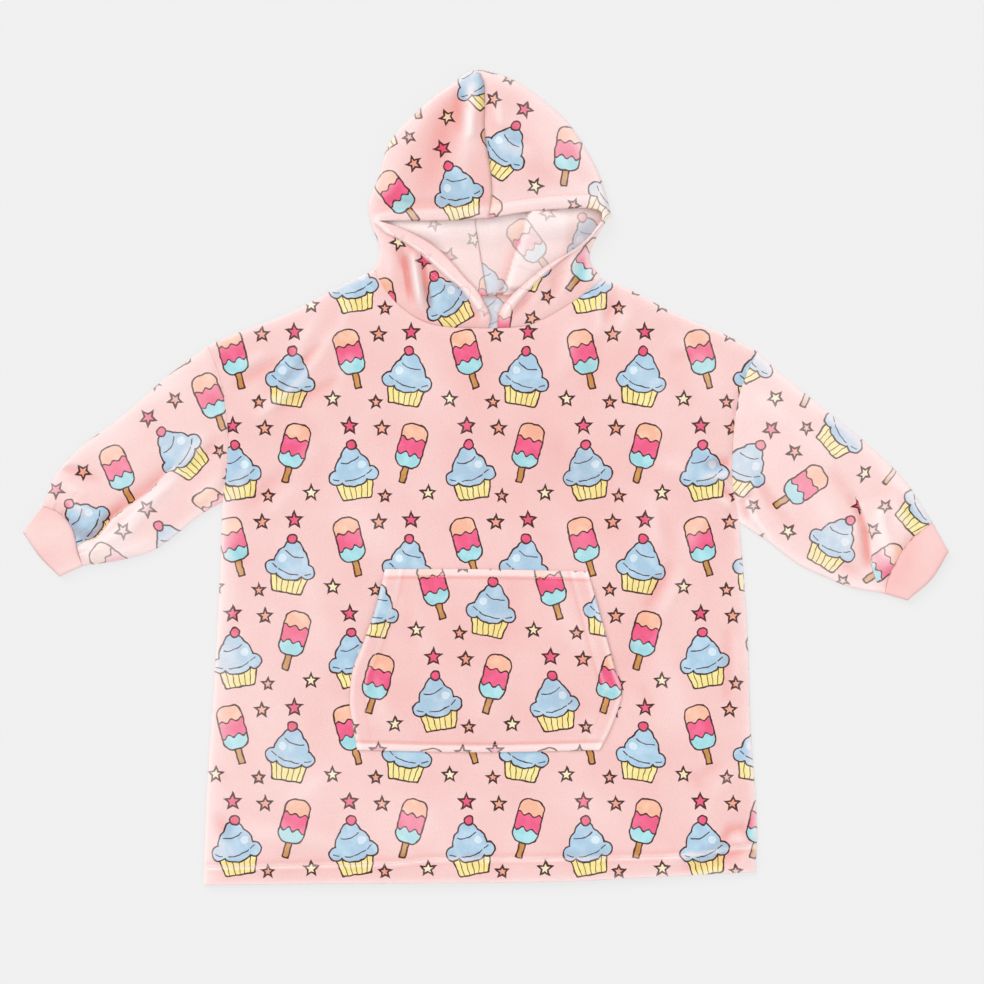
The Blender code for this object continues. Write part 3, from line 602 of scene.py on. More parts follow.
rightCuffJoin = ((581, -58), (553, -80), (535, -105), (523, -130), (518, -151))

sideShare = 0.7     # of the panel's edge that is side seam; the rest is armhole


def panelSides(up):
    left = readJoined((leftSide, leftArmhole), (0, sideShare, 1), up)
    right = readJoined((rightSide, rightArmhole), (0, sideShare, 1), up)
    return left, right


def panelTop(neckLeft, neckRight, neckMid, across):
    # shoulders and neck in one line
    return readJoined((leftShoulder, neckLeft, neckRight[::-1], rightShoulder[::-1]),
                      (0, 0.30, neckMid, 0.72, 1), across)


def nearLine(points, line):
    # distance to a line in mm, and how far along it the nearest place is
    dense = readLine(line, np.linspace(0, 1, 241))
    walked = np.concatenate([[0], np.cumsum(np.linalg.norm(np.diff(dense, axis=0), axis=1))])
    flat = points.reshape(-1, 2)
    best, place = np.full(len(flat), 1e9), np.zeros(len(flat))
    for spot, reach in zip(dense, walked):
        gap = np.hypot(flat[:, 0] - spot[0], flat[:, 1] - spot[1])
        closer = gap < best
        best[closer], place[closer] = gap[closer], reach
    return best.reshape(points.shape[:-1]), place.reshape(points.shape[:-1])


def seamShape(points, line, deep, pucker, reach, seed):
    # a sewn seam sinks, with the cloth swelling beside it and short puckers across
    far, place = nearLine(points, line)
    shape = -deep * bell(far, 3.2) + 0.35 * deep * bell(far - 9, 6)
    return shape + pucker * wander(place, seed) * np.exp(-far / reach)


# body

body = dict(
    wide=700, tall=740, acrossPanels=184, upPanels=210, puff=2.8, foldSize=1.3, armholeRise=2.0,
    hemRows=(
        (0, 23), (120, 24), (250, 26), (290, 31), (420, 30.5), (520, 28.5), (600, 26), (640, 27),
        (675, 31), (705, 34), (800, 34)),
    hemRise=1.1, least=4.3, sideDrop=1.6, sideRound=6, ripple=0.55, rippleSize=34, hemGroove=1.2,
    hemWelt=0.9, hemDeepBack=30,
    creases=(
        (238, 384, 275, 362, 8, -2.4), (275, 392, 318, 346, 6, -2.8, 0.2),
        (262, 414, 302, 379, 8, 2.6, -0.2), (302, 379, 334, 332, 8, 2.0),
        (284, 406, 336, 381, 8, -2.4, 0.2), (332, 398, 350, 360, 8, 1.4), (296, 352, 318, 312, 9, 1.8),
        (354, 303, 367, 286, 7, -1.8), (340, 330, 352, 296, 8, 1.5), (244, 366, 262, 352, 7, 1.4),
        (252, 502, 276, 478, 9, -1.8), (270, 512, 296, 486, 9, 1.3), (228, 548, 246, 560, 9, -1.4),
        (246, 470, 232, 492, 8, 1.4), (300, 470, 320, 440, 12, 1.0), (308, 420, 322, 452, 10, -0.9),
        (211, 815, 232, 837, 9, -3.0), (214, 842, 240, 852, 8, 1.8), (226, 784, 214, 764, 8, -1.4),
        (228, 848, 252, 852, 7, -1.4), (250, 830, 330, 842, 12, 1.4), (290, 802, 332, 770, 13, 1.1),
        (222, 690, 236, 650, 12, 1.0), (225, 640, 240, 610, 10, -1.1), (619, 285, 607, 318, 6, -3.0, 0.2),
        (602, 294, 598, 332, 7, 1.8), (630, 302, 618, 332, 8, 1.8, -0.2), (600, 340, 588, 384, 11, -1.2),
        (576, 330, 560, 372, 12, 1.1), (692, 352, 674, 358, 9, -1.5), (672, 330, 700, 366, 10, 1.2),
        (640, 372, 672, 400, 11, 1.0), (706, 464, 736, 462, 6, -4.0), (704, 477, 738, 474, 6, 3.4),
        (720, 489, 738, 499, 4.5, -3.6), (722, 500, 736, 508, 5, 2.6), (690, 470, 664, 464, 11, 1.5),
        (728, 512, 737, 520, 4, -2.6), (700, 519, 688, 544, 10, 1.5), (664, 518, 673, 550, 9, -1.3),
        (652, 500, 656, 540, 10, 1.1), (648, 606, 669, 566, 7, -2.6), (661, 614, 682, 574, 8, 1.6),
        (727, 632, 728, 697, 7, -2.0), (738, 636, 739, 692, 7, 1.3), (643, 688, 651, 708, 7, -1.4),
        (700, 777, 718, 765, 7, -1.5), (688, 772, 706, 792, 8, -1.3), (716, 790, 736, 772, 9, 1.3),
        (722, 841, 730, 829, 6, -3.6), (730, 829, 742, 827, 5, -2.8), (742, 827, 756, 838, 5, -3.0),
        (734, 839, 752, 843, 6, 2.4), (716, 856, 742, 852, 5, -1.8), (688, 869, 736, 856, 8, -2.2),
        (668, 862, 702, 850, 7, 1.8), (742, 866, 756, 852, 7, 1.5), (420, 380, 470, 430, 26, 1.2),
        (530, 400, 560, 470, 24, -1.0), (330, 500, 390, 545, 24, 1.0), (560, 520, 600, 560, 22, 1.0),
        (400, 800, 440, 840, 22, 1.0), (560, 790, 620, 830, 22, 1.0), (300, 560, 320, 640, 20, 1.1),
        (660, 640, 680, 720, 18, 1.0), (272, 600, 250, 850, 46, 1.1), (300, 770, 430, 850, 40, 0.9),
        (700, 315, 722, 420, 30, 0.8), (575, 410, 600, 540, 55, -0.9), (450, 350, 520, 520, 55, -0.7),
        (640, 590, 625, 700, 24, -0.9)),
    backCreases=(
        (300, 360, 640, 345, 30, 0.9), (260, 550, 340, 450, 26, 0.8), (710, 570, 620, 460, 26, 0.8),
        (440, 700, 545, 800, 34, 0.7)))

across = stations(body["acrossPanels"], body["wide"])
up = stations(body["upPanels"], body["tall"])
leftEdge, rightEdge = panelSides(up)
hemEdge = readLine(hemLine, across)
fromSide = np.minimum(across, 1 - across)[None, :] * body["wide"]

frontTop = panelTop(leftNeckFront, rightNeckFront, 0.51, across)
frontPoints = fillPatch(hemEdge, frontTop, leftEdge, rightEdge, across, up)
backTop = panelTop(leftNeckBack, rightNeckBack, 0.51, across)
backPoints = fillPatch(hemEdge, backTop, leftEdge, rightEdge, across, up)

hemFar, hemPlace = nearLine(frontPoints, hemLine)
armholePart = np.clip((up - sideShare) / (1 - sideShare), 0, 1)
frontHeight = seamTop + body["puff"] * swell(across)[None, :] * swell((1 + up) / 2)[:, None]
inArmhole = np.sin(np.pi * armholePart) * (up > sideShare)
frontHeight = frontHeight + body["armholeRise"] * inArmhole[:, None]
sideFade = (0.035 - 0.024 * ease((up - sideShare) / 0.06))[:, None]
fadeSide = ease(np.minimum(across, 1 - across)[None, :] / sideFade)
fadeTop = ease((1 - up) / 0.05)[:, None]
frontCreases = body["foldSize"] * creaseHeight(frontPoints, body["creases"])
frontCreases *= fadeSide * np.maximum(fadeTop, 0.3)
frontHeight += frontCreases
frontHeight += body["ripple"] * softField(frontPoints, body["rippleSize"], 5) * fadeSide * fadeTop
for line, deep, pucker, reach, seed in (
        (leftSide, 0.9, 0.55, 13, 1.0), (rightSide, 0.9, 0.55, 13, 2.3), (leftArmhole, 1.5, 0.5, 12, 3.1),
        (rightArmhole, 1.5, 0.5, 12, 4.7), (leftShoulder, 1.3, 0.6, 13, 5.2),
        (rightShoulder, 1.3, 0.6, 13, 6.9),
        (leftNeckFront, 1.2, 0.7, 12, 7.7), (rightNeckFront, 1.2, 0.7, 12, 8.4)):
    frontHeight += seamShape(frontPoints, line, deep, pucker, reach, seed)
# the hem is turned up and stitched: a double band, and a groove with short puckers at the stitches
hemDeep = np.interp(hemPlace, *zip(*body["hemRows"]))
inHem = ease((hemDeep + 1.5 - hemFar) / 3.0)
frontHeight += body["hemRise"] * inHem + 0.5 * wander(hemPlace, 9.5) * np.exp(-np.abs(hemFar - hemDeep) / 9)
frontHeight -= body["hemGroove"] * bell(hemFar - hemDeep, 2.2)
frontHeight += body["hemWelt"] * bell(hemFar - hemDeep - 5, 3)
frontHeight = np.maximum(frontHeight, body["least"])
frontHeight += roundOff(hemFar, 6, 1.6)
below = (up < sideShare)[:, None]
frontHeight += np.where(below, roundOff(fromSide, body["sideRound"], body["sideDrop"]), 0)
frontXyz = np.dstack([frontPoints, frontHeight])
# painted light on the front: painted highlight on ridges, along the outline, wider on the left side than
# the right, at the shoulders and on the hem's stitch line; painted shade in troughs and in strips beside
# that line
sideFar = np.minimum(nearLine(frontPoints, leftSide)[0] * 0.8, nearLine(frontPoints, rightSide)[0] * 2.2)
topFar = np.minimum(nearLine(frontPoints, leftShoulder)[0], nearLine(frontPoints, rightShoulder)[0])
frontPaintedLight = paintedLightFrom(frontCreases, np.minimum(sideFar, hemFar * 3), 0.75, 15)
frontPaintedLight += 0.45 * np.exp(-(topFar / 12) ** 1.6) + 0.5 * bell(np.minimum(sideFar, topFar), 3)
frontPaintedLight += (0.75 + 0.2 * wander(hemPlace, 4)) * bell(hemFar - hemDeep + 0.5, 2.2)
frontPaintedLight -= 0.3 * bell(hemFar - hemDeep - 6, 3.5) + 0.2 * bell(hemFar - hemDeep + 6, 3)
frontPanel = makeSheet("frontPanel", frontXyz, turned(frontPoints, 0, (61, 40)), nap=frontPaintedLight)
giveWall(frontPanel, wall, printedFace, printedBack)

backHeight = np.zeros(backPoints.shape[:2])
backHeight += np.maximum(creaseHeight(backPoints, body["backCreases"]), 0) * fadeSide * fadeTop
seamRise = np.zeros(backPoints.shape[:2])
backOutline = (leftSide, rightSide, leftShoulder, rightShoulder)
for line in backOutline + (leftArmhole, rightArmhole, leftNeckBack, rightNeckBack):
    far, place = nearLine(backPoints, line)
    seamRise = np.maximum(seamRise, 0.9 * bell(far, 3.0) + 0.3 * wander(place, 2.0) * np.exp(-far / 9))
backHeight += np.maximum(seamRise, 0)
hemFarBack = nearLine(backPoints, hemLine)[0]
onHemBack = bell(hemFarBack - body["hemDeepBack"], 2.2)
backHeight += 0.7 * onHemBack - roundOff(hemFarBack, 5, 1.0)
backSideFar = np.minimum.reduce([nearLine(backPoints, line)[0] for line in backOutline])
backNeckFar = np.minimum(nearLine(backPoints, leftNeckBack)[0], nearLine(backPoints, rightNeckBack)[0])
# painted light on the underside: painted highlight near the outline and on the hem's stitch line, painted
# shade along the back neck
backPaintedLight = 0.9 * bell(np.minimum(backSideFar, hemFarBack), 5) - bell(backNeckFar, 4)
backPaintedLight += 0.7 * onHemBack
backPanel = makeSheet("backPanel", np.dstack([backPoints, backHeight]),
                      turned(backPoints, 0, (116.5, -41), True), facesUp=False,
                      nap=backPaintedLight)
giveWall(backPanel, wall, printedFace, printedBack)
print("body panels made")


# sleeves and cuffs

sleeves = dict(
    under=26, over=84, turn=10, along=170, foldSize=1.25, puff=2.4, joinHeight=7.4, ripple=0.45,
    creases=(
        (68, 517, 76, 533, 6, -3.6, -0.3), (78, 534, 95, 536, 6, -3.4, -0.3),
        (97, 532, 109, 519, 6, -3.6, -0.3), (109, 518, 122, 506, 7, -3.0, -0.3),
        (124, 504, 154, 484, 9, -2.0), (156, 486, 190, 466, 10, -1.8), (190, 466, 224, 438, 9, -2.2),
        (73, 550, 98, 549, 9, 5.2, 0.4), (98, 549, 121, 532, 10, 5.6, 0.4),
        (121, 532, 148, 503, 9, 4.0, 0.3), (148, 502, 172, 480, 8, 3.6), (172, 480, 202, 442, 9, 2.6),
        (104, 562, 150, 540, 9, 1.6), (58, 468, 74, 470, 6, -3.0), (74, 470, 98, 480, 7, -2.4),
        (66, 500, 84, 512, 7, 2.2), (64, 486, 80, 492, 7, 1.8), (100, 452, 140, 428, 13, 1.3),
        (196, 500, 222, 478, 9, 1.8), (150, 400, 190, 380, 12, 1.2), (206, 372, 222, 392, 8, 1.2),
        (214, 400, 226, 424, 8, -1.2), (834, 474, 850, 498, 9, -1.8), (850, 498, 862, 516, 7, -2.6),
        (860, 514, 866, 536, 7, -3.6), (866, 536, 868, 562, 7, -3.8), (880, 518, 888, 562, 9, 3.6, 0.1),
        (884, 504, 879, 520, 7, 2.4), (908, 507, 920, 524, 6, -3.0), (893, 498, 902, 532, 7, 1.8),
        (843, 565, 859, 575, 7, -2.0), (850, 548, 858, 512, 9, 1.8), (757, 480, 773, 504, 7, -2.8),
        (773, 504, 790, 526, 8, -1.6), (742, 490, 756, 520, 6, 3.4), (740, 503, 751, 495, 3.6, -3.6),
        (743, 504, 746, 520, 3.6, -3.4), (756, 520, 769, 542, 6, 3.2), (822, 500, 838, 536, 12, 1.2),
        (826, 416, 840, 434, 8, -1.6), (800, 430, 826, 460, 13, 1.2), (756, 396, 790, 420, 13, 1.3),
        (884, 470, 912, 492, 9, 1.6), (890, 540, 896, 568, 6, 1.8)),
    foldsOver=(
        (172, 468, 160, 480, 1.6), (160, 480, 148, 493, 2.4), (148, 493, 122, 511, 3.4),
        (122, 511, 112, 519, 4.2), (112, 519, 104, 529, 4.6), (104, 529, 97, 537, 4.4),
        (97, 537, 84, 542, 3.4), (860, 508, 868, 530, 2.2), (868, 530, 871, 562, 3.2)),
    gathers=9, gatherRise=0.9, gatherReach=30)
cuffs = dict(length=48.0, turn=10, under=90, over=140, along=16, endHeight=8.0, ribWidth=2.9, ribRise=0.14,
             wallThick=2.4)


def tubeStations(edge, under, over, turn):
    # shares across a flattened tube and of its height, once round from the upper edge
    angles = np.pi * (np.arange(1, turn) / turn - 0.5)
    reach, lift = 1 - np.cos(angles), 0.5 + 0.5 * np.sin(angles)
    share = np.concatenate([np.linspace(edge, 1 - edge, under), 1 - edge * reach,
                            np.linspace(1 - edge, edge, over), (edge * reach)[::-1], [edge]])
    height = np.concatenate([np.zeros(under), lift, np.ones(over), lift[::-1], [0.0]])
    return share, height


def tubePoints(first, last, upper, lower, along, edgeHeight, counts):
    # rows of points round a flattened tube, between its end lines and its two side lines
    rows = []
    firstEnds, lastEnds = (np.array([line[0], line[-1]], float) for line in (first, last))
    for t, tall in zip(along, edgeHeight):
        low, high = readLine(upper, np.array([t]))[0], readLine(lower, np.array([t]))[0]
        share, lift = tubeStations(tall / 2 / np.linalg.norm(low - high), *counts)
        start, end = readLine(first, share), readLine(last, share)
        near, far = 1 - share[:, None], share[:, None]
        between = start * (1 - t) + end * t + low * near + high * far
        corner = ((firstEnds[0] * near + firstEnds[1] * far) * (1 - t)
                  + (lastEnds[0] * near + lastEnds[1] * far) * t)
        rows.append((between - corner, share, lift))
    return [np.array(column) for column in zip(*rows)]


def makeSleeve(name, armhole, join, upper, lower, turnOfPrint, shiftOfPrint, fold, pale, seed):
    length = np.linalg.norm(np.mean([upper[-1], lower[-1]], axis=0) - np.mean([upper[0], lower[0]], axis=0))
    along = stations(sleeves["along"], length)
    tall = seamTop + (sleeves["joinHeight"] - seamTop) * along
    points, share, lift = tubePoints(armhole[::-1], join, upper, lower, along, tall,
                                     (sleeves["under"], sleeves["over"], sleeves["turn"]))
    t = along[:, None]
    over = lift >= 1
    seamHeight = seamTop + 2.0 * np.sin(np.pi * share)
    height = seamHeight + (sleeves["joinHeight"] - seamHeight) * t
    height += sleeves["puff"] * swell(share) * swell(t)
    ends = ease(t / 0.10) * ease((1 - t) / 0.10)
    creases = sleeves["foldSize"] * creaseHeight(points, sleeves["creases"])
    creases *= np.maximum(ends, 0.7 * ease(t / 0.06))
    step, inShade, onRim = foldOver(points, sleeves["foldsOver"], 13)
    creases = (creases + step) * ease(np.minimum(share, 1 - share) / 0.07)
    height += creases
    height += sleeves["ripple"] * softField(points, 24, seed) * swell(share) * ends
    # fullness drawn in at the cuff
    toCuff = (1 - t) * length
    turns = share * sleeves["gathers"] * np.pi
    wave = np.sin(2 * turns + seed) + 0.5 * np.sin(3.3 * turns + 2 * seed)
    height += sleeves["gatherRise"] * wave * np.exp(-toCuff / sleeves["gatherReach"]) * swell(share)
    height += seamShape(points, armhole, 1.5, 0.5, 12, seed)
    height += seamShape(points, join, 1.2, 0.3, 8, seed + 1)
    side = tall[:, None] * lift
    z = np.where(over, height, side)
    edge = np.minimum(share, 1 - share)
    z = np.where(over, np.maximum(tall[:, None] + (z - tall[:, None]) * ease(edge / 0.03), 4.4), z)
    # the under side lifts a little where it is sewn
    bottom = 0.8 * bell(t * length, 3) + 0.7 * bell(toCuff, 3)
    z = np.where(lift <= 0, bottom, z)
    underColumn = list(np.arange(points.shape[1]) < sleeves["under"] - 1)
    xyz = np.dstack([points, z])
    flat = unrolled(xyz, lift[0] >= 1)
    flat += swallowed(points, *fold)
    face = turned(flat, turnOfPrint, shiftOfPrint)
    middle = turned(points, turnOfPrint, (shiftOfPrint[0] + 71, shiftOfPrint[1] - 37), True)
    wide = np.linalg.norm(points[:, 0] - points[:, sleeves["under"] - 1], axis=1)[:, None]
    # painted light on the sleeve: painted highlight on ridges, near the edges, on folds' rims and over the
    # whole sleeve by its pale share, most near the armhole; painted shade in troughs, beside folds and near
    # the cuff; the under side gets less
    nap = paintedLightFrom(np.where(over, creases, 0), edge * wide, 0.6, 11, 0.24) - 0.25 * bell(toCuff, 12)
    nap += pale * (0.35 + 0.65 * bell(t * length, 70))
    nap += np.where(over, 0.25 * onRim - 0.8 * inShade, 0)
    nap[:, :sleeves["under"]] -= 0.24
    sleeve = makeSheet(name, xyz, face, closed=True, uvUnder=middle, underColumns=underColumn,
                       nap=nap)
    giveWall(sleeve, wall, printedFace, printedBack)
    return sleeve


def makeCuff(name, join, end, seed, pale):
    along = np.linspace(0, 1, cuffs["along"])
    tall = sleeves["joinHeight"] + (cuffs["endHeight"] - sleeves["joinHeight"]) * along
    points, share, lift = tubePoints(join, end, (join[0], end[0]), (join[-1], end[-1]), along, tall,
                                     (cuffs["under"], cuffs["over"], cuffs["turn"]))
    t = along[:, None]
    fromJoin = t * cuffs["length"]
    toEnd = (1 - t) * cuffs["length"]
    ring = share * np.linalg.norm(np.array(join[0]) - np.array(join[-1]))
    rib = cuffs["ribRise"] * np.sin(2 * np.pi * ring / cuffs["ribWidth"] + seed)
    rounded = swell(share, 0.5)
    height = tall[:, None] + 0.9 * swell(share) * np.sin(np.pi * np.clip(t, 0, 1)) + rib * rounded
    height += 0.9 * np.sin(share * 11 + seed) * np.exp(-fromJoin / 16) * rounded
    height -= 1.3 * bell(fromJoin, 3)
    height += roundOff(toEnd, 4, 1.8)
    z = np.where(lift >= 1, height, tall[:, None] * lift)
    bottom = 0.9 * bell(fromJoin, 3) - roundOff(toEnd, 4, 1.2)
    z = np.where(lift <= 0, bottom, z)
    uv = np.dstack([ring, np.broadcast_to(fromJoin, ring.shape)])
    nap = pale + 1.8 * softField(points, 13, seed) - 0.25 * np.exp(-fromJoin / 5)
    cuff = makeSheet(name, np.dstack([points, z]), uv, closed=True, nap=nap)
    giveWall(cuff, cuffs["wallThick"], knitRib, knitRib)
    return cuff


sleeveLeft = makeSleeve(
    "sleeveLeft", leftArmhole, leftCuffJoin,
    ((-362, 171), (-408, 137), (-479, 75), (-521, 44), (-558, 6), (-576, -37)),
    ((-343, -32), (-373, -50), (-411, -81), (-437, -97), (-478, -108), (-524, -115)), 38, (30, 20),
    (((178, 462), (160, 480), (148, 493), (122, 511), (112, 519), (104, 529), (97, 537), (84, 542)), 30),
    0.0, 1.3)
sleeveRight = makeSleeve(
    "sleeveRight", rightArmhole, rightCuffJoin,
    ((353, 164), (382, 137), (458, 75), (496, 44), (546, -5), (581, -58)),
    ((330, -59), (364, -81), (405, -112), (440, -129), (478, -144), (518, -151)), -40, (96, 65),
    (((848, 474), (860, 508), (868, 530), (871, 562)), 16), 0.22, 2.6)
cuffLeft = makeCuff("cuffLeft", leftCuffJoin, ((-602, -71), (-580, -103), (-554, -129)), 0.4, 0.12)
cuffRight = makeCuff("cuffRight", rightCuffJoin, ((602, -96), (580, -132), (548, -160)), 1.9, -0.45)
print("sleeves and cuffs made")


# hood

hood = dict(
    under=44, over=96, turn=12, rows=180, crownBand=17, bandRise=1.0, bandRoll=3.6, backRise=7.0,
    denseTo=0.955, ripple=0.5, bandLeft=(11, 16, 29, 34, 35), bandRight=(15, 17, 18, 17, 15),
    # share of the hood's height, then heights at the folded edge, middle and face opening
    sections=(
        (0.00, 5.1, 5.1, 5.1), (0.10, 7.0, 9.0, 9.5), (0.25, 9.0, 12.5, 13.0), (0.42, 10.0, 12.0, 13.5),
        (0.60, 11.0, 17.0, 15.0), (0.80, 11.0, 20.0, 16.5), (1.00, 11.0, 21.0, 17.0)),
    creases=(
        (453, 96, 441, 140, 15, -3.0), (441, 140, 427, 184, 14, -2.5),
        (475, 82, 470, 134, 8.5, 9.8, 0.25), (470, 134, 461, 168, 13, 3.4), (458, 88, 459, 130, 7, -3.4),
        (485, 92, 488, 136, 6, -6.4), (466, 104, 474, 118, 5, -2.0), (480, 84, 490, 100, 5, 2.4),
        (497, 100, 501, 130, 7, 3.0), (494, 126, 522, 143, 6, -2.6), (500, 147, 528, 153, 9, 2.4),
        (482, 192, 489, 208, 5, -1.8), (420, 100, 404, 150, 16, 2.6), (398, 160, 386, 196, 12, 1.8),
        (466, 176, 474, 204, 10, 1.6), (532, 120, 566, 158, 18, 2.0), (520, 168, 560, 178, 12, -1.0),
        (560, 176, 590, 192, 9, 1.6), (380, 203, 440, 204, 6, -2.0), (500, 201, 545, 196, 6, -1.0),
        (413.5, 258, 421, 311, 5.5, 8.0), (405, 259, 411, 304, 3.8, -5.4),
        (423, 265, 430, 308, 3.6, -6.4), (399, 248, 404, 268, 5, -3.0), (390, 258, 388, 292, 7, 2.2),
        (436, 290, 444, 318, 7, 1.6), (452, 306, 460, 322, 6, -1.2), (470, 310, 480, 324, 4, -2.4),
        (575, 252, 566, 288, 7, 3.0), (566, 288, 548, 314, 7, 2.2), (584, 262, 578, 292, 6, -2.4),
        (556, 270, 552, 306, 7, -2.2), (513, 318, 528, 298, 5, -2.6), (532, 312, 538, 296, 7, 1.6),
        (596, 262, 590, 286, 6, 1.8)),
    # the back of the hood inside: ridges, then steps whose right side stands higher
    insideCreases=(
        (527, 218, 521, 236, 7, 4.0, 0.2), (521, 236, 512, 266, 7, 4.6, 0.2),
        (512, 266, 504, 302, 7, 4.0, 0.1), (436, 232, 462, 268, 12, 3.0), (414, 226, 436, 236, 13, 2.4),
        (558, 222, 546, 246, 12, 2.6), (492, 226, 496, 262, 9, 1.6), (584, 214, 570, 232, 8, 2.0)),
    insideSteps=(
        (531, 210, 523, 236, 8.0), (523, 236, 514, 262, 9.0), (514, 262, 507, 284, 7.0),
        (507, 284, 500, 306, 4.5)))

# shares of the way up the face opening at which its band's width, and its roll with its painted highlight,
# are given
bandMarks = (0, 0.15, 0.5, 0.85, 1)

innerSeamLow = ((2, 236), (-8, 296), (-14, 332))
innerSeamHigh = ((-14, 332), (-10, 413), (-9, 500))
crownSeam = ((-10, 530), (-2, 508), (-1, 444), (5, 406), (8, 369), (4, 336))


def bulge(line, share):
    # how far a line strays from the straight one between its ends
    straight = np.array(line[0], float) * (1 - share[:, None]) + np.array(line[-1], float) * share[:, None]
    return readLine(line, share) - straight


def makeHoodHalf(name, side, dome, face, crownEdge, neckFront, neckBack, toMiddle, band, bandRollAndHighlight,
                 crownHighlight, turnOfPrint, shiftOfPrint, seed):
    low = np.linspace(0, shareOfCorner, int(hood["rows"] * 0.45))
    high = np.linspace(shareOfCorner, hood["denseTo"], int(hood["rows"] * 0.5))[1:]
    levels = np.concatenate([low, high, [0.97, 0.985, 1.0]])
    edge = readJoined((side, dome), (0, shareOfCorner, 1), levels)
    lip = readJoined((face, crownEdge), (0, shareOfCorner, 1), levels)
    middle = readJoined((innerSeamLow, innerSeamHigh), (0, shareOfCorner, 1), levels)
    marks = np.array([row[0] for row in hood["sections"]])
    fold, centre, lipHeight = (np.interp(levels, marks, [row[i] for row in hood["sections"]])
                               for i in (1, 2, 3))
    angles = np.pi * (np.arange(1, hood["turn"]) / hood["turn"] - 0.5)
    reach, turnLift = 1 - np.cos(angles), 0.5 + 0.5 * np.sin(angles)
    xyz, overShares, bandFar, overLengths = [], [], [], []
    for i, level in enumerate(levels):
        lowFade = max(0.0, 1 - level / shareOfCorner) ** 2
        highFade = max(0.0, (level - shareOfCorner) / (1 - shareOfCorner)) ** 2
        underLength = max(np.linalg.norm(edge[i] - middle[i]), 1.0)
        overLength = max(np.linalg.norm(edge[i] - lip[i]), 1.0)
        turnUnder = min(fold[i] / 2 / underLength, 0.45)
        turnOver = min(fold[i] / 2 / overLength, 0.45)
        underShare = np.linspace(0, 1 - turnUnder, hood["under"])
        lastBit = np.array([5.0, 3.0, 1.6, 0.7]) / overLength
        lastBit = np.minimum(lastBit, np.array([0.12, 0.08, 0.05, 0.025]))
        overShare = np.concatenate([np.linspace(turnOver, 1 - lastBit[0] * 1.5, hood["over"] - 5),
                                    1 - lastBit, [1.0]])

        def underAt(share):
            return (middle[i] * (1 - share[:, None]) + edge[i] * share[:, None]
                    + bulge(neckBack[::-1], share) * lowFade)

        def overAt(share):
            return (edge[i] * (1 - share[:, None]) + lip[i] * share[:, None]
                    + bulge(neckFront, share) * lowFade + bulge(crownSeam, share) * highFade)

        under, over = underAt(underShare), overAt(overShare)
        turnLow = underAt(1 - turnUnder * reach)
        turnHigh = overAt(turnOver * reach)
        turn = np.where((turnLift < 0.5)[:, None], turnLow, turnHigh)
        crown = fold[i] * (1 - overShare) + lipHeight[i] * overShare
        crown = crown + (centre[i] - (fold[i] + lipHeight[i]) / 2) * np.sin(np.pi * overShare)
        points = np.concatenate([under, turn, over])
        heights = np.concatenate([np.zeros(hood["under"]), fold[i] * turnLift, crown])
        away = 0.1 if level == 1.0 else 0.0
        points[:, 0] -= toMiddle * away
        xyz.append(np.column_stack([points, heights]))
        overShares.append(overShare)
        bandFar.append((1 - overShare) * overLength)
        overLengths.append(overLength)
    xyz, overShares, bandFar, overLengths = (
        np.array(part) for part in (xyz, overShares, bandFar, overLengths))
    start = hood["under"] + hood["turn"] - 1
    points = xyz[:, start:, :2]
    level = levels[:, None]
    fade = ease(level / 0.08) * ease((1 - level) / 0.05) * ease(overShares / 0.12)
    creases = creaseHeight(points, hood["creases"]) * fade
    z = xyz[:, start:, 2] + creases
    z += hood["ripple"] * softField(points, 22, seed) * fade
    # the band along the face opening is turned in and stitched down
    rise = ease(level / 0.06)
    onFace = ease((shareOfCorner - level) / 0.05)
    faceWide = np.interp(level / shareOfCorner, bandMarks, band)
    wide = np.minimum(faceWide * onFace + hood["crownBand"] * (1 - onFace), 0.7 * overLengths[:, None])
    z += rise * hood["bandRise"] * ease((wide + 1.5 - bandFar) / 3)
    # how far the band rolls up, and how much painted highlight its roll gets
    pale = np.interp(level / shareOfCorner, bandMarks, bandRollAndHighlight) * onFace
    z += rise * (1.2 + (hood["bandRoll"] - 1.2) * np.minimum(pale * 2, 1)) * bell(bandFar - wide + 6, 4.5)
    z -= rise * (0.5 + 0.5 * onFace + 0.8 * pale) * bell(bandFar - wide - 1.5, 2.8)
    lipLine = tuple(face) + tuple(crownEdge[1:])
    place = nearLine(points, lipLine)[1]
    z += rise * 0.4 * wander(place, seed) * np.exp(-np.abs(bandFar - wide) / 9)
    z += rise * roundOff(bandFar, 5, 1.6)
    z += seamShape(points, neckFront, 1.2, 0.6, 11, seed + 2)
    z += seamShape(points, crownSeam, 1.8, 0.7, 12, seed + 3) * ease((level - 0.35) / 0.2)
    xyz[:, start:, 2] = np.maximum(z, 3.4)
    # the back of the hood, seen from inside through the face opening
    inner = xyz[:, :hood["under"], :2]
    lift = np.maximum(creaseHeight(inner, hood["insideCreases"]), 0) * ease(level / 0.1)
    step, inShade, onRidge = foldOver(inner, hood["insideSteps"], 50)
    lift = np.maximum(lift, step)
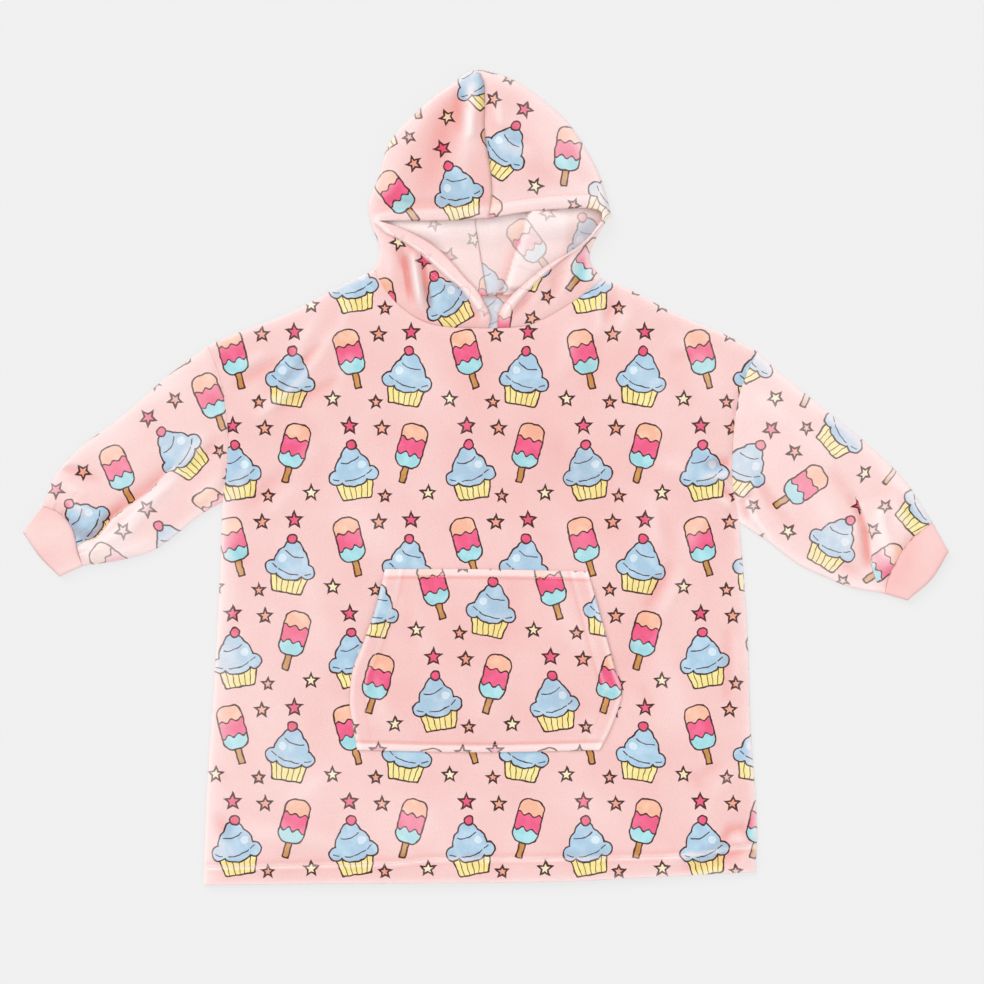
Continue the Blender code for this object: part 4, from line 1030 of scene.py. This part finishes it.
    # the back stands up a little behind the crown's edge
    lift = lift + hood["backRise"] * ease((level - 0.25) / 0.14) * ease((0.56 - level) / 0.12)
    lift *= ease((np.linspace(1, 0, hood["under"]))[None, :] / 0.25) * ease(level / 0.05)
    seamFar = nearLine(inner, tuple(innerSeamLow) + tuple(innerSeamHigh[1:]))[0]
    lift += 0.8 * bell(seamFar, 3.5)
    neckFar = nearLine(inner, neckBack)[0]
    lift += 0.9 * bell(neckFar, 3.0)
    xyz[:, :hood["under"], 2] = lift
    uv = turned(unrolled(xyz, np.arange(xyz.shape[1]) >= start), turnOfPrint, shiftOfPrint)
    uvBack = turned(xyz[..., :2], turnOfPrint, (shiftOfPrint[0] + 33, shiftOfPrint[1] + 48), True)
    underColumn = list(np.arange(xyz.shape[1]) < hood["under"] - 1)
    # painted light on the hood's outer face: painted highlight on the turned edges, ridges, near the
    # outline, on the band's roll and along the crown's edge; painted shade in troughs, right at the lip and
    # beside the band's stitch line; the left half a little darker than the right
    nap, plain = np.zeros(xyz.shape[:2]), np.zeros(xyz.shape[:2])
    outline = tuple(side) + tuple(dome[1:])
    nap[:, hood["under"]:start] = 0.85
    nap[:, start:] = paintedLightFrom(creases, nearLine(points, outline)[0], 0.8, 14,
                             0.06 if toMiddle < 0 else -0.16)
    nap[:, start:] += rise * ((0.2 + 0.15 * onFace + 0.5 * pale) * bell(bandFar - wide + 5.5, 4.8)
                              + pale * ease((wide + 1 - bandFar) / 3) * ease((bandFar - 1) / 2.5)
                              + crownHighlight[0] * (1 - onFace) * np.exp(-(bandFar / crownHighlight[1]) ** 4)
                              - 0.5 * bell(bandFar, 1.6)
                              - (0.12 * onFace + 0.3 * pale) * bell(bandFar - wide - 2.5, 3))
    plain[:, start:] = rise * onFace * ease((wide + 1 - bandFar) / 2.5) * 0.93
    # painted light on the back of the hood inside: painted highlight on the step's rim and behind the
    # crown's edge, painted shade beside the step; pinker towards the right and darker along the seams
    nap[:, :hood["under"]] = (0.27 + 0.06 * lift + 0.9 * onRidge - 1.6 * inShade
                              + 0.35 * ease((level - 0.36) / 0.06)
                              - 0.5 * ease((inner[..., 0] - 98) / 12)
                              - 0.45 * bell(seamFar, 2.2) - 0.9 * bell(neckFar, 3.5))
    half = makeSheet(name, xyz, uv, uvUnder=uvBack, underColumns=underColumn, nap=nap, plain=plain)
    giveWall(half, wall, printedFace, printedBack)
    return half


leftLip = ((3, 194), (6, 211), (-2, 228), (-12, 245), (-25, 258), (-43, 279), (-63, 298), (-87, 313),
           (-112, 325),
           (-138, 333))
rightLip = ((15, 194), (18, 218), (45, 248), (80, 276), (122, 300), (151, 334))
hoodLeft = makeHoodHalf(
    "hoodLeft", ((-145, 270), (-138, 296), (-150, 330)),
    ((-150, 330), (-153, 356), (-141, 387), (-126, 434), (-100, 465), (-67, 496), (-40, 515), (-22, 528),
     (-10, 530)),
    leftLip, ((-138, 333), (-56, 333), (4, 336)),
    leftNeckFront, leftNeckBack, 1, hood["bandLeft"], (0.6, 0.65, 0.6, 0.4, 0.3), (0.6, 15),
    24, (-6.4, 60.7), 1.1)
hoodRight = makeHoodHalf(
    "hoodRight", ((151, 258), (135, 286), (148, 319), (163, 342)),
    ((163, 342), (156, 370), (145, 400), (126, 434), (104, 465), (68, 496), (38, 516), (4, 528),
     (-10, 530)),
    rightLip, ((151, 334), (149, 345), (134, 349), (112, 349), (60, 345), (4, 336)),
    rightNeckFront, rightNeckBack, -1, hood["bandRight"], (0.65, 0.6, 0.3, 0.1, 0.0), (0.56, 30),
    -22, (96, 12), 2.2)
print("hood made")


# pocket

pouch = dict(
    wide=320, tall=235, close=(0.7, 1.6, 2.8, 4.4), across=110, up=96, sideBand=20, endBand=10,
    bandRise=0.9, clear=0.25, lipLift=2.2, puff=1.8,
    left=(
        (-167, -354), (-173, -322), (-177, -289), (-173, -250), (-161, -219), (-145, -175), (-131, -119)),
    right=(
        (148, -354), (164, -322), (177, -279), (168, -249), (158, -212), (145, -165), (133, -122)),
    low=((-167, -354), (-8, -357), (148, -354)), high=((-131, -119), (-8, -119), (133, -122)),
    creases=(
        (395, 590, 430, 650, 16, 1.2), (555, 590, 580, 650, 15, 1.4), (470, 730, 515, 670, 20, 1.0),
        (372, 700, 400, 735, 12, 1.2), (515, 590, 500, 640, 16, -0.9), (578, 712, 600, 742, 11, 1.1),
        (405, 592, 412, 640, 8, -1.3), (372, 664, 384, 710, 7, 1.3), (445, 700, 470, 742, 12, -0.9),
        (560, 690, 582, 716, 10, -1.0)))

pouchAcross = stations(pouch["across"], pouch["wide"], pouch["close"])
pouchUp = stations(pouch["up"], pouch["tall"], pouch["close"])
pouchPoints = fillPatch(readLine(pouch["low"], pouchAcross), readLine(pouch["high"], pouchAcross),
                        readLine(pouch["left"], pouchUp), readLine(pouch["right"], pouchUp),
                        pouchAcross, pouchUp)
fromEdge = {name: nearLine(pouchPoints, pouch[name]) for name in ("left", "right", "low", "high")}
frontGround = groundOf(frontPanel)
ground = np.array([[heightOn(frontGround, x, y) for x, y in row] for row in pouchPoints])
nearSide = np.minimum(fromEdge["left"][0], fromEdge["right"][0])
nearEnd = np.minimum(fromEdge["low"][0], fromEdge["high"][0])
pouchHeight = ground + pouch["clear"] + wall
standsOpen = ease((pouchUp[:, None] - 0.35) / 0.15) * ease((1 - pouchUp[:, None]) / 0.1)
pouchHeight += pouch["puff"] * swell(pouchAcross)[None, :] * swell(pouchUp)[:, None]
pouchCreases = creaseHeight(pouchPoints, pouch["creases"]) * ease(nearEnd / 20)
pouchHeight += pouchCreases
pouchHeight += pouch["lipLift"] * standsOpen * bell(nearSide, 22)
bandIn = np.maximum(ease((pouch["sideBand"] + 1.5 - nearSide) / 3),
                    ease((pouch["endBand"] + 1.5 - nearEnd) / 3))
pouchHeight += pouch["bandRise"] * bandIn
for name, band, seed in (("left", "sideBand", 1.5), ("right", "sideBand", 2.5),
                         ("low", "endBand", 3.5), ("high", "endBand", 4.5)):
    far, place = fromEdge[name]
    band = pouch[band]
    pouchHeight -= 0.8 * bell(far - band, 2.0)
    pouchHeight += 0.35 * wander(place, seed) * np.exp(-np.abs(far - band) / 8)
pouchHeight += roundOff(np.minimum(nearSide, nearEnd), 4.5, 1.5)
pouchHeight = np.maximum(pouchHeight, ground + pouch["clear"] + wall * 0.55)
# painted light on the pocket: painted highlight on ridges, on its end bands and along its sides, painted
# shade in troughs and in lines beside the bands
pouchPaintedLight = 0.16 * pouchCreases + 0.72 * ease((pouch["endBand"] - nearEnd) / 2.0) - 0.1
pouchPaintedLight -= 0.55 * bell(nearEnd - pouch["endBand"] - 1.5, 1.8)
slant = np.where(fromView(0, 690)[1] < pouchPoints[..., 1], 1.0, 0.0)
pouchPaintedLight += 0.6 * bell(nearSide - 3, 3) + 0.45 * slant * bell(nearSide - pouch["sideBand"], 2.2)
pouchPaintedLight -= 0.3 * slant * bell(nearSide - pouch["sideBand"] - 5, 2.5)
kangarooPocket = makeSheet("kangarooPocket", np.dstack([pouchPoints, pouchHeight]),
                           turned(pouchPoints, 0, (104, 96)),
                           nap=pouchPaintedLight)
giveWall(kangarooPocket, wall, printedFace, printedBack)
print("pocket made")


# stitches

thread = dict(length=3.0, pitch=3.8, radius=0.38, sink=0.1, sides=6,
              # where its rings lie, how thick each is, and how high it stands, in radii
              rings=((0, 0.35, 0), (0.33, 1.0, 0.7), (0.67, 1.0, 0.7), (1, 0.35, 0)))


def sewLine(name, ground, line, inset, skipEnds=6):
    # single stitches laid on the cloth along a line, a little inside it
    dense = readLine(line, np.linspace(0, 1, 400))
    step = np.gradient(dense, axis=0)
    normal = np.stack([-step[:, 1], step[:, 0]], axis=1) / np.linalg.norm(step, axis=1)[:, None]
    path = dense + normal * np.broadcast_to(inset, len(dense))[:, None]
    walked = np.concatenate([[0], np.cumsum(np.linalg.norm(np.diff(path, axis=0), axis=1))])
    verts, faces = [], []
    sides = thread["sides"]
    reach = skipEnds
    while reach + thread["length"] < walked[-1] - skipEnds:
        ends = [np.array([np.interp(reach + part * thread["length"], walked, path[:, k]) for k in (0, 1)])
                for part, fat, lift in thread["rings"]]
        reach += thread["pitch"]
        if not all(liesOn(ground, *spot) for spot in ends):
            continue
        along = (ends[-1] - ends[0]) / np.linalg.norm(ends[-1] - ends[0])
        beside = np.array([-along[1], along[0]])
        first = len(verts)
        for spot, (part, fat, lift) in zip(ends, thread["rings"]):
            z = heightOn(ground, *spot) + thread["radius"] * lift - thread["sink"]
            out = thread["radius"] * fat
            for corner in range(sides):
                angle = corner * 2 * math.pi / sides
                verts.append((*(spot + beside * out * math.cos(angle)) * mm,
                              (z + out * math.sin(angle)) * mm))
        for ring in range(len(ends) - 1):
            start = first + ring * sides
            for corner in range(sides):
                a, b = start + corner, start + (corner + 1) % sides
                faces.append((a, b, b + sides, a + sides))
        faces.append(tuple(range(first + sides - 1, first - 1, -1)))
        faces.append(tuple(range(len(verts) - sides, len(verts))))
    mesh = bpy.data.meshes.new(name)
    mesh.from_pydata(verts, [], faces)
    mesh.validate()
    mesh.update()
    mesh.polygons.foreach_set("use_smooth", [True] * len(mesh.polygons))
    mesh.materials.append(threadPink)
    piece = bpy.data.objects.new(name, mesh)
    bpy.context.scene.collection.objects.link(piece)
    bpy.ops.object.select_all(action="DESELECT")
    piece.select_set(True)
    bpy.context.view_layer.objects.active = piece
    bpy.ops.object.mode_set(mode="EDIT")
    bpy.ops.mesh.select_all(action="SELECT")
    bpy.ops.mesh.normals_make_consistent(inside=False)
    bpy.ops.object.mode_set(mode="OBJECT")
    piece.select_set(False)
    return piece


hemRun = np.linspace(0, np.linalg.norm(np.array(hemLine[-1], float) - hemLine[0]), 400)
hemStitches = sewLine("hemStitches", frontGround, hemLine, np.interp(hemRun, *zip(*body["hemRows"])))
hoodGround = groundOf(hoodLeft, hoodRight)
faceInset = np.interp(np.linspace(0, 1, 400), bandMarks, np.add(hood["bandLeft"], 0.5))
faceStitchesLeft = sewLine("faceStitchesLeft", hoodGround, leftLip, faceInset, 24)
faceStitchesRight = sewLine("faceStitchesRight", hoodGround, rightLip, -18.5, 24)
crownStitchesLeft = sewLine("crownStitchesLeft", hoodGround, ((-132, 333), (-56, 333), (4, 336)), 17.5, 12)
crownStitchesRight = sewLine("crownStitchesRight", hoodGround,
                             ((149, 349), (112, 349), (60, 345), (4, 336)), -17.5, 12)
pouchGround = groundOf(kangarooPocket)
pouchStitches = [sewLine("pocketStitchesLeft", pouchGround, pouch["left"], -pouch["sideBand"], 12),
                 sewLine("pocketStitchesRight", pouchGround, pouch["right"], pouch["sideBand"], 12),
                 sewLine("pocketStitchesLow", pouchGround, pouch["low"], pouch["endBand"], 8),
                 sewLine("pocketStitchesHigh", pouchGround, pouch["high"], -pouch["endBand"], 8)]
print("stitches laid")


# what each piece stands for

settle(backPanel, "back_panel")
settle(frontPanel, "front_panel", [hemStitches])
settle(kangarooPocket, "kangaroo_pocket",
       pouchStitches)
settle(sleeveLeft, "sleeve_left")
settle(sleeveRight, "sleeve_right")
settle(cuffLeft, "cuff_left")
settle(cuffRight, "cuff_right")
settle(hoodLeft, "hood_left",
       [faceStitchesLeft, crownStitchesLeft])
settle(hoodRight, "hood_right",
       [faceStitchesRight, crownStitchesRight])


# floor, light and camera

studio = dict(
    floor="#7C7C7C", glow=0.65, floorHalf=6.0, floorBelow=0.001, sky=0.5,
    # lens and sensor in millimetres, camera's place in metres
    lens=100, sensor=36, cameraAt=(0.00806, -0.01885, 3.5593),
    # name, where it stands round the piece, how low it is, strength, softness
    lamps=(("leftHigh", 128, 54, 1.35, 36), ("rightLow", -48, 60, 0.6, 50), ("above", 0, 0, 0.85, 50)))

# frosted acrylic light table: glows evenly from below, so shadows on it stay faint
floorMaterial, add = newMaterial("frostedLightTable")
shader = add("ShaderNodeBsdfPrincipled", None,
             {"Base Color": linear(studio["floor"]), "Roughness": 1.0, "Specular IOR Level": 0.0,
              "Emission Color": (1, 1, 1, 1), "Emission Strength": studio["glow"]})
add("ShaderNodeOutputMaterial", None, {0: shader})
bpy.ops.object.select_all(action="DESELECT")
bpy.ops.mesh.primitive_plane_add(size=studio["floorHalf"] * 2, location=(0, 0, -studio["floorBelow"]))
floor = bpy.context.active_object
floor.name = "floor"
floor.data.materials.append(floorMaterial)

world = bpy.data.worlds.new("softStudio")
world.use_nodes = True
background = world.node_tree.nodes["Background"]
background.inputs["Color"].default_value = (1, 1, 1, 1)
background.inputs["Strength"].default_value = studio["sky"]
bpy.context.scene.world = world
for name, turn, low, power, soft in studio["lamps"]:
    lamp = bpy.data.lights.new(name, "SUN")
    lamp.energy, lamp.angle = power, math.radians(soft)
    holder = bpy.data.objects.new(name, lamp)
    holder.rotation_euler = (0, math.radians(low), math.radians(turn))
    bpy.context.scene.collection.objects.link(holder)

bpy.context.scene.view_settings.view_transform = "Standard"
lens = bpy.data.cameras.new("overhead")
lens.lens, lens.sensor_width = studio["lens"], studio["sensor"]
camera = bpy.data.objects.new("overhead", lens)
camera.location = studio["cameraAt"]
bpy.context.scene.collection.objects.link(camera)
bpy.context.scene.camera = camera
bpy.context.view_layer.update()
